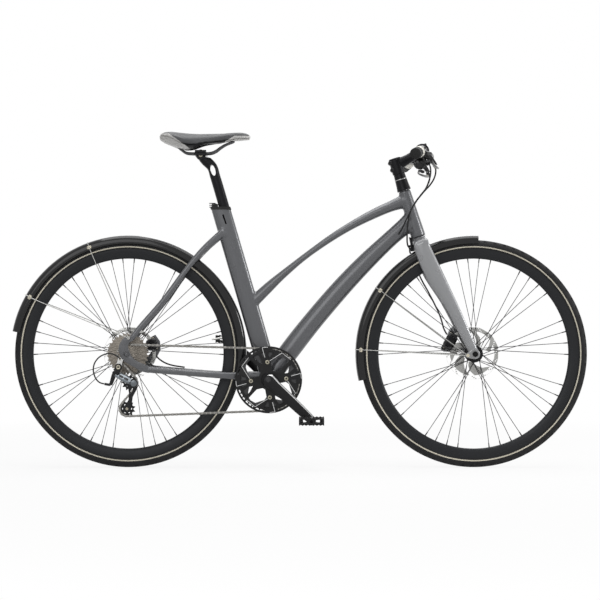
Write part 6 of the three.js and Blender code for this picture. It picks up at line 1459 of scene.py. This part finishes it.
# Pale rubber: a plain off-white band with no highlight
grip_band = surface("pale_grip_band", "#d8d5cc", "#e2dfd6", 1.0, 0.0, (0.46, 0.58), 0.02)
grip_start, band_share, rib_count = 0.586, 0.46, 26
grip_shape = [[0, 15.2], [0.03, 17], [0.11, 17], [0.16, 15.4], [0.3, 15.7], [0.52, 16.4], [0.7, 16],
              [0.84, 15.8], [0.97, 16.2]]
for hand, side in (("right", -1), ("left", 1)):
    rings = []
    for share, radius in spline_through(grip_shape, 8):
        rib = 0.35 * math.cos(share * 2 * math.pi * rib_count) if 0.2 < share < 0.9 else 0
        rings.append(bar_ring(bar_point(side, between(grip_start, 1, share)), radius + rib, 44))
    rings += [bar_ring(bar_point(side, 1) + left_axis * (side * past), radius, 44)
              for past, radius in ((1.6, 16.2), (3.2, 15.4), (3.9, 13.6))]
    bore = skin("grip_bore", [bar_ring(bar_point(side, share), 11.18, 40)
                              for share in (0.5, 0.55, 0.7, 0.85, 1.0005)])
    grip = cut(coat(skin(hand + "_grip_rubber", rings), grip_rubber), bore)
    paint(grip, lambda c, n: abs(c.y) < between(grip_start, 1, band_share) * bar_half, grip_band)
    done(smooth(grip, 50), "steering", "grip", hand + "_grip")


# Brake levers
# Forged perches clamp on the bar and hold the master cylinders, lacquered black.
# A two-finger blade swings on a steel pin in each.

# Lacquered forging: black with crisp small highlights
lever_black = surface("black_lacquered_lever", "#151516", "#222223", 0.8, 0.25, (0.22, 0.34), 0.003, coat=0.5)
blade_table = [[0, 12, 0, 0.9], [3, 26, -2, 1], [2, 50, -4, 0.8], [-4, 80, -3, 0.72], [-13, 110, 2, 0.72],
               [-19, 132, 7, 0.66], [-21, 142, 12, 0.5]]
for hand, side in (("right", -1), ("left", 1)):
    middle = bar_point(side, 0.5)
    perch = [cast(hand + "_brake_perch", lever_black),
             coat(straight("hose_nut", middle + Vector((38, side * -54, -14)),
                           middle + Vector((39, side * -62, -14.2)), 5, 6), lever_black),
             side_bolt(middle + Vector((16, side * -4, 12)), side, 3.2, gloss_black, 1.5)]
    done(join(hand + "_lever_perch", *perch), "steering", "black_alloy", hand + "_brake_perch")
    pivot = middle + Vector((44, 0, -46))
    rings = [section(pivot + Vector((x, side * out, z)), Vector((0.86, 0, -0.5)), Vector((0.5, 0, 0.86)),
                     17 * share / 2, 3.5, 28, 3) for x, out, z, share in spline_through(blade_table, 5)]
    arm = coat(skin(hand + "_blade_arm", rings), lever_black, 50)
    pin = coat(straight("pivot_pin", pivot + Vector((0, side * 17, -5.2)), pivot + Vector((0, side * 17, 4.4)),
                        3.4, 24), bolt_steel)
    done(join(hand + "_lever_blade", arm, pin), hand + "_lever", "lever", hand + "_brake_blade")


# Shifter
# A moulded nylon pod with a ribbed rim hangs under the bar beside the right lever.
# A thumb paddle swings below it, and a release trigger ahead of it.

# Moulded nylon: charcoal black with a soft even sheen
pod_plastic = surface("moulded_shifter_nylon", "#18181a", "#252527", 0.8, 0.0, (0.34, 0.46), 0.02)
pod = bar_point(-1, 0.5) + Vector((2, 26, -32))
parts = [cast("shifter", pod_plastic, 0.8, 4)]
for rim in (pod + facing(k * 15) * 19.8 for k in range(24)):
    parts.append(coat(straight("pod_ridge", rim - left_axis * 9.4, rim + left_axis * 1.4, 0.9, 8), pod_plastic))
parts.append(coat(turned("pod_face", pod, [
    (0.2, -13.9), (8, -13.9), (9.2, -13.3), (14.6, -13.3), (15.4, -14), (16.6, -14), (17.2, -12.6),
    (0.2, -12.6)], 56), gloss_black, 30))
done(join("shifter_pod", *parts), "steering", "shifter", "shifter")

for name, start, reach, table, half, body in (
        ("thumb_paddle", (0, 0, -23.55), (6, -34, -6), [[0, 0.9], [0.35, 0.7], [0.75, 1], [1, 0.7]],
         (7, 0, 0, 3.15), "thumb_lever"),
        ("release_paddle", (22.55, 0, -3), (4, -30, 0), [[0, 1], [0.35, 0.8], [0.75, 1], [1, 0.6]],
         (0, 2.5, 5.5, 0), "release_trigger")):
    # Half the paddle's size along x and z: a part that follows its width, and a part that stays
    wide_x, flat_x, wide_z, flat_z = half
    rings = []
    for share, width in spline_through(table, 5):
        middle = pod + Vector(start) + Vector((reach[0] * share, reach[1] * share, reach[2] * share * share))
        rings.append(section(middle, Vector((1, 0, 0)), Vector((0, 0, 1)), wide_x * width + flat_x,
                             wide_z * width + flat_z, 24, 3))
    done(coat(skin(name, rings), pod_plastic, 50), body, "shifter", "shifter_" + body)
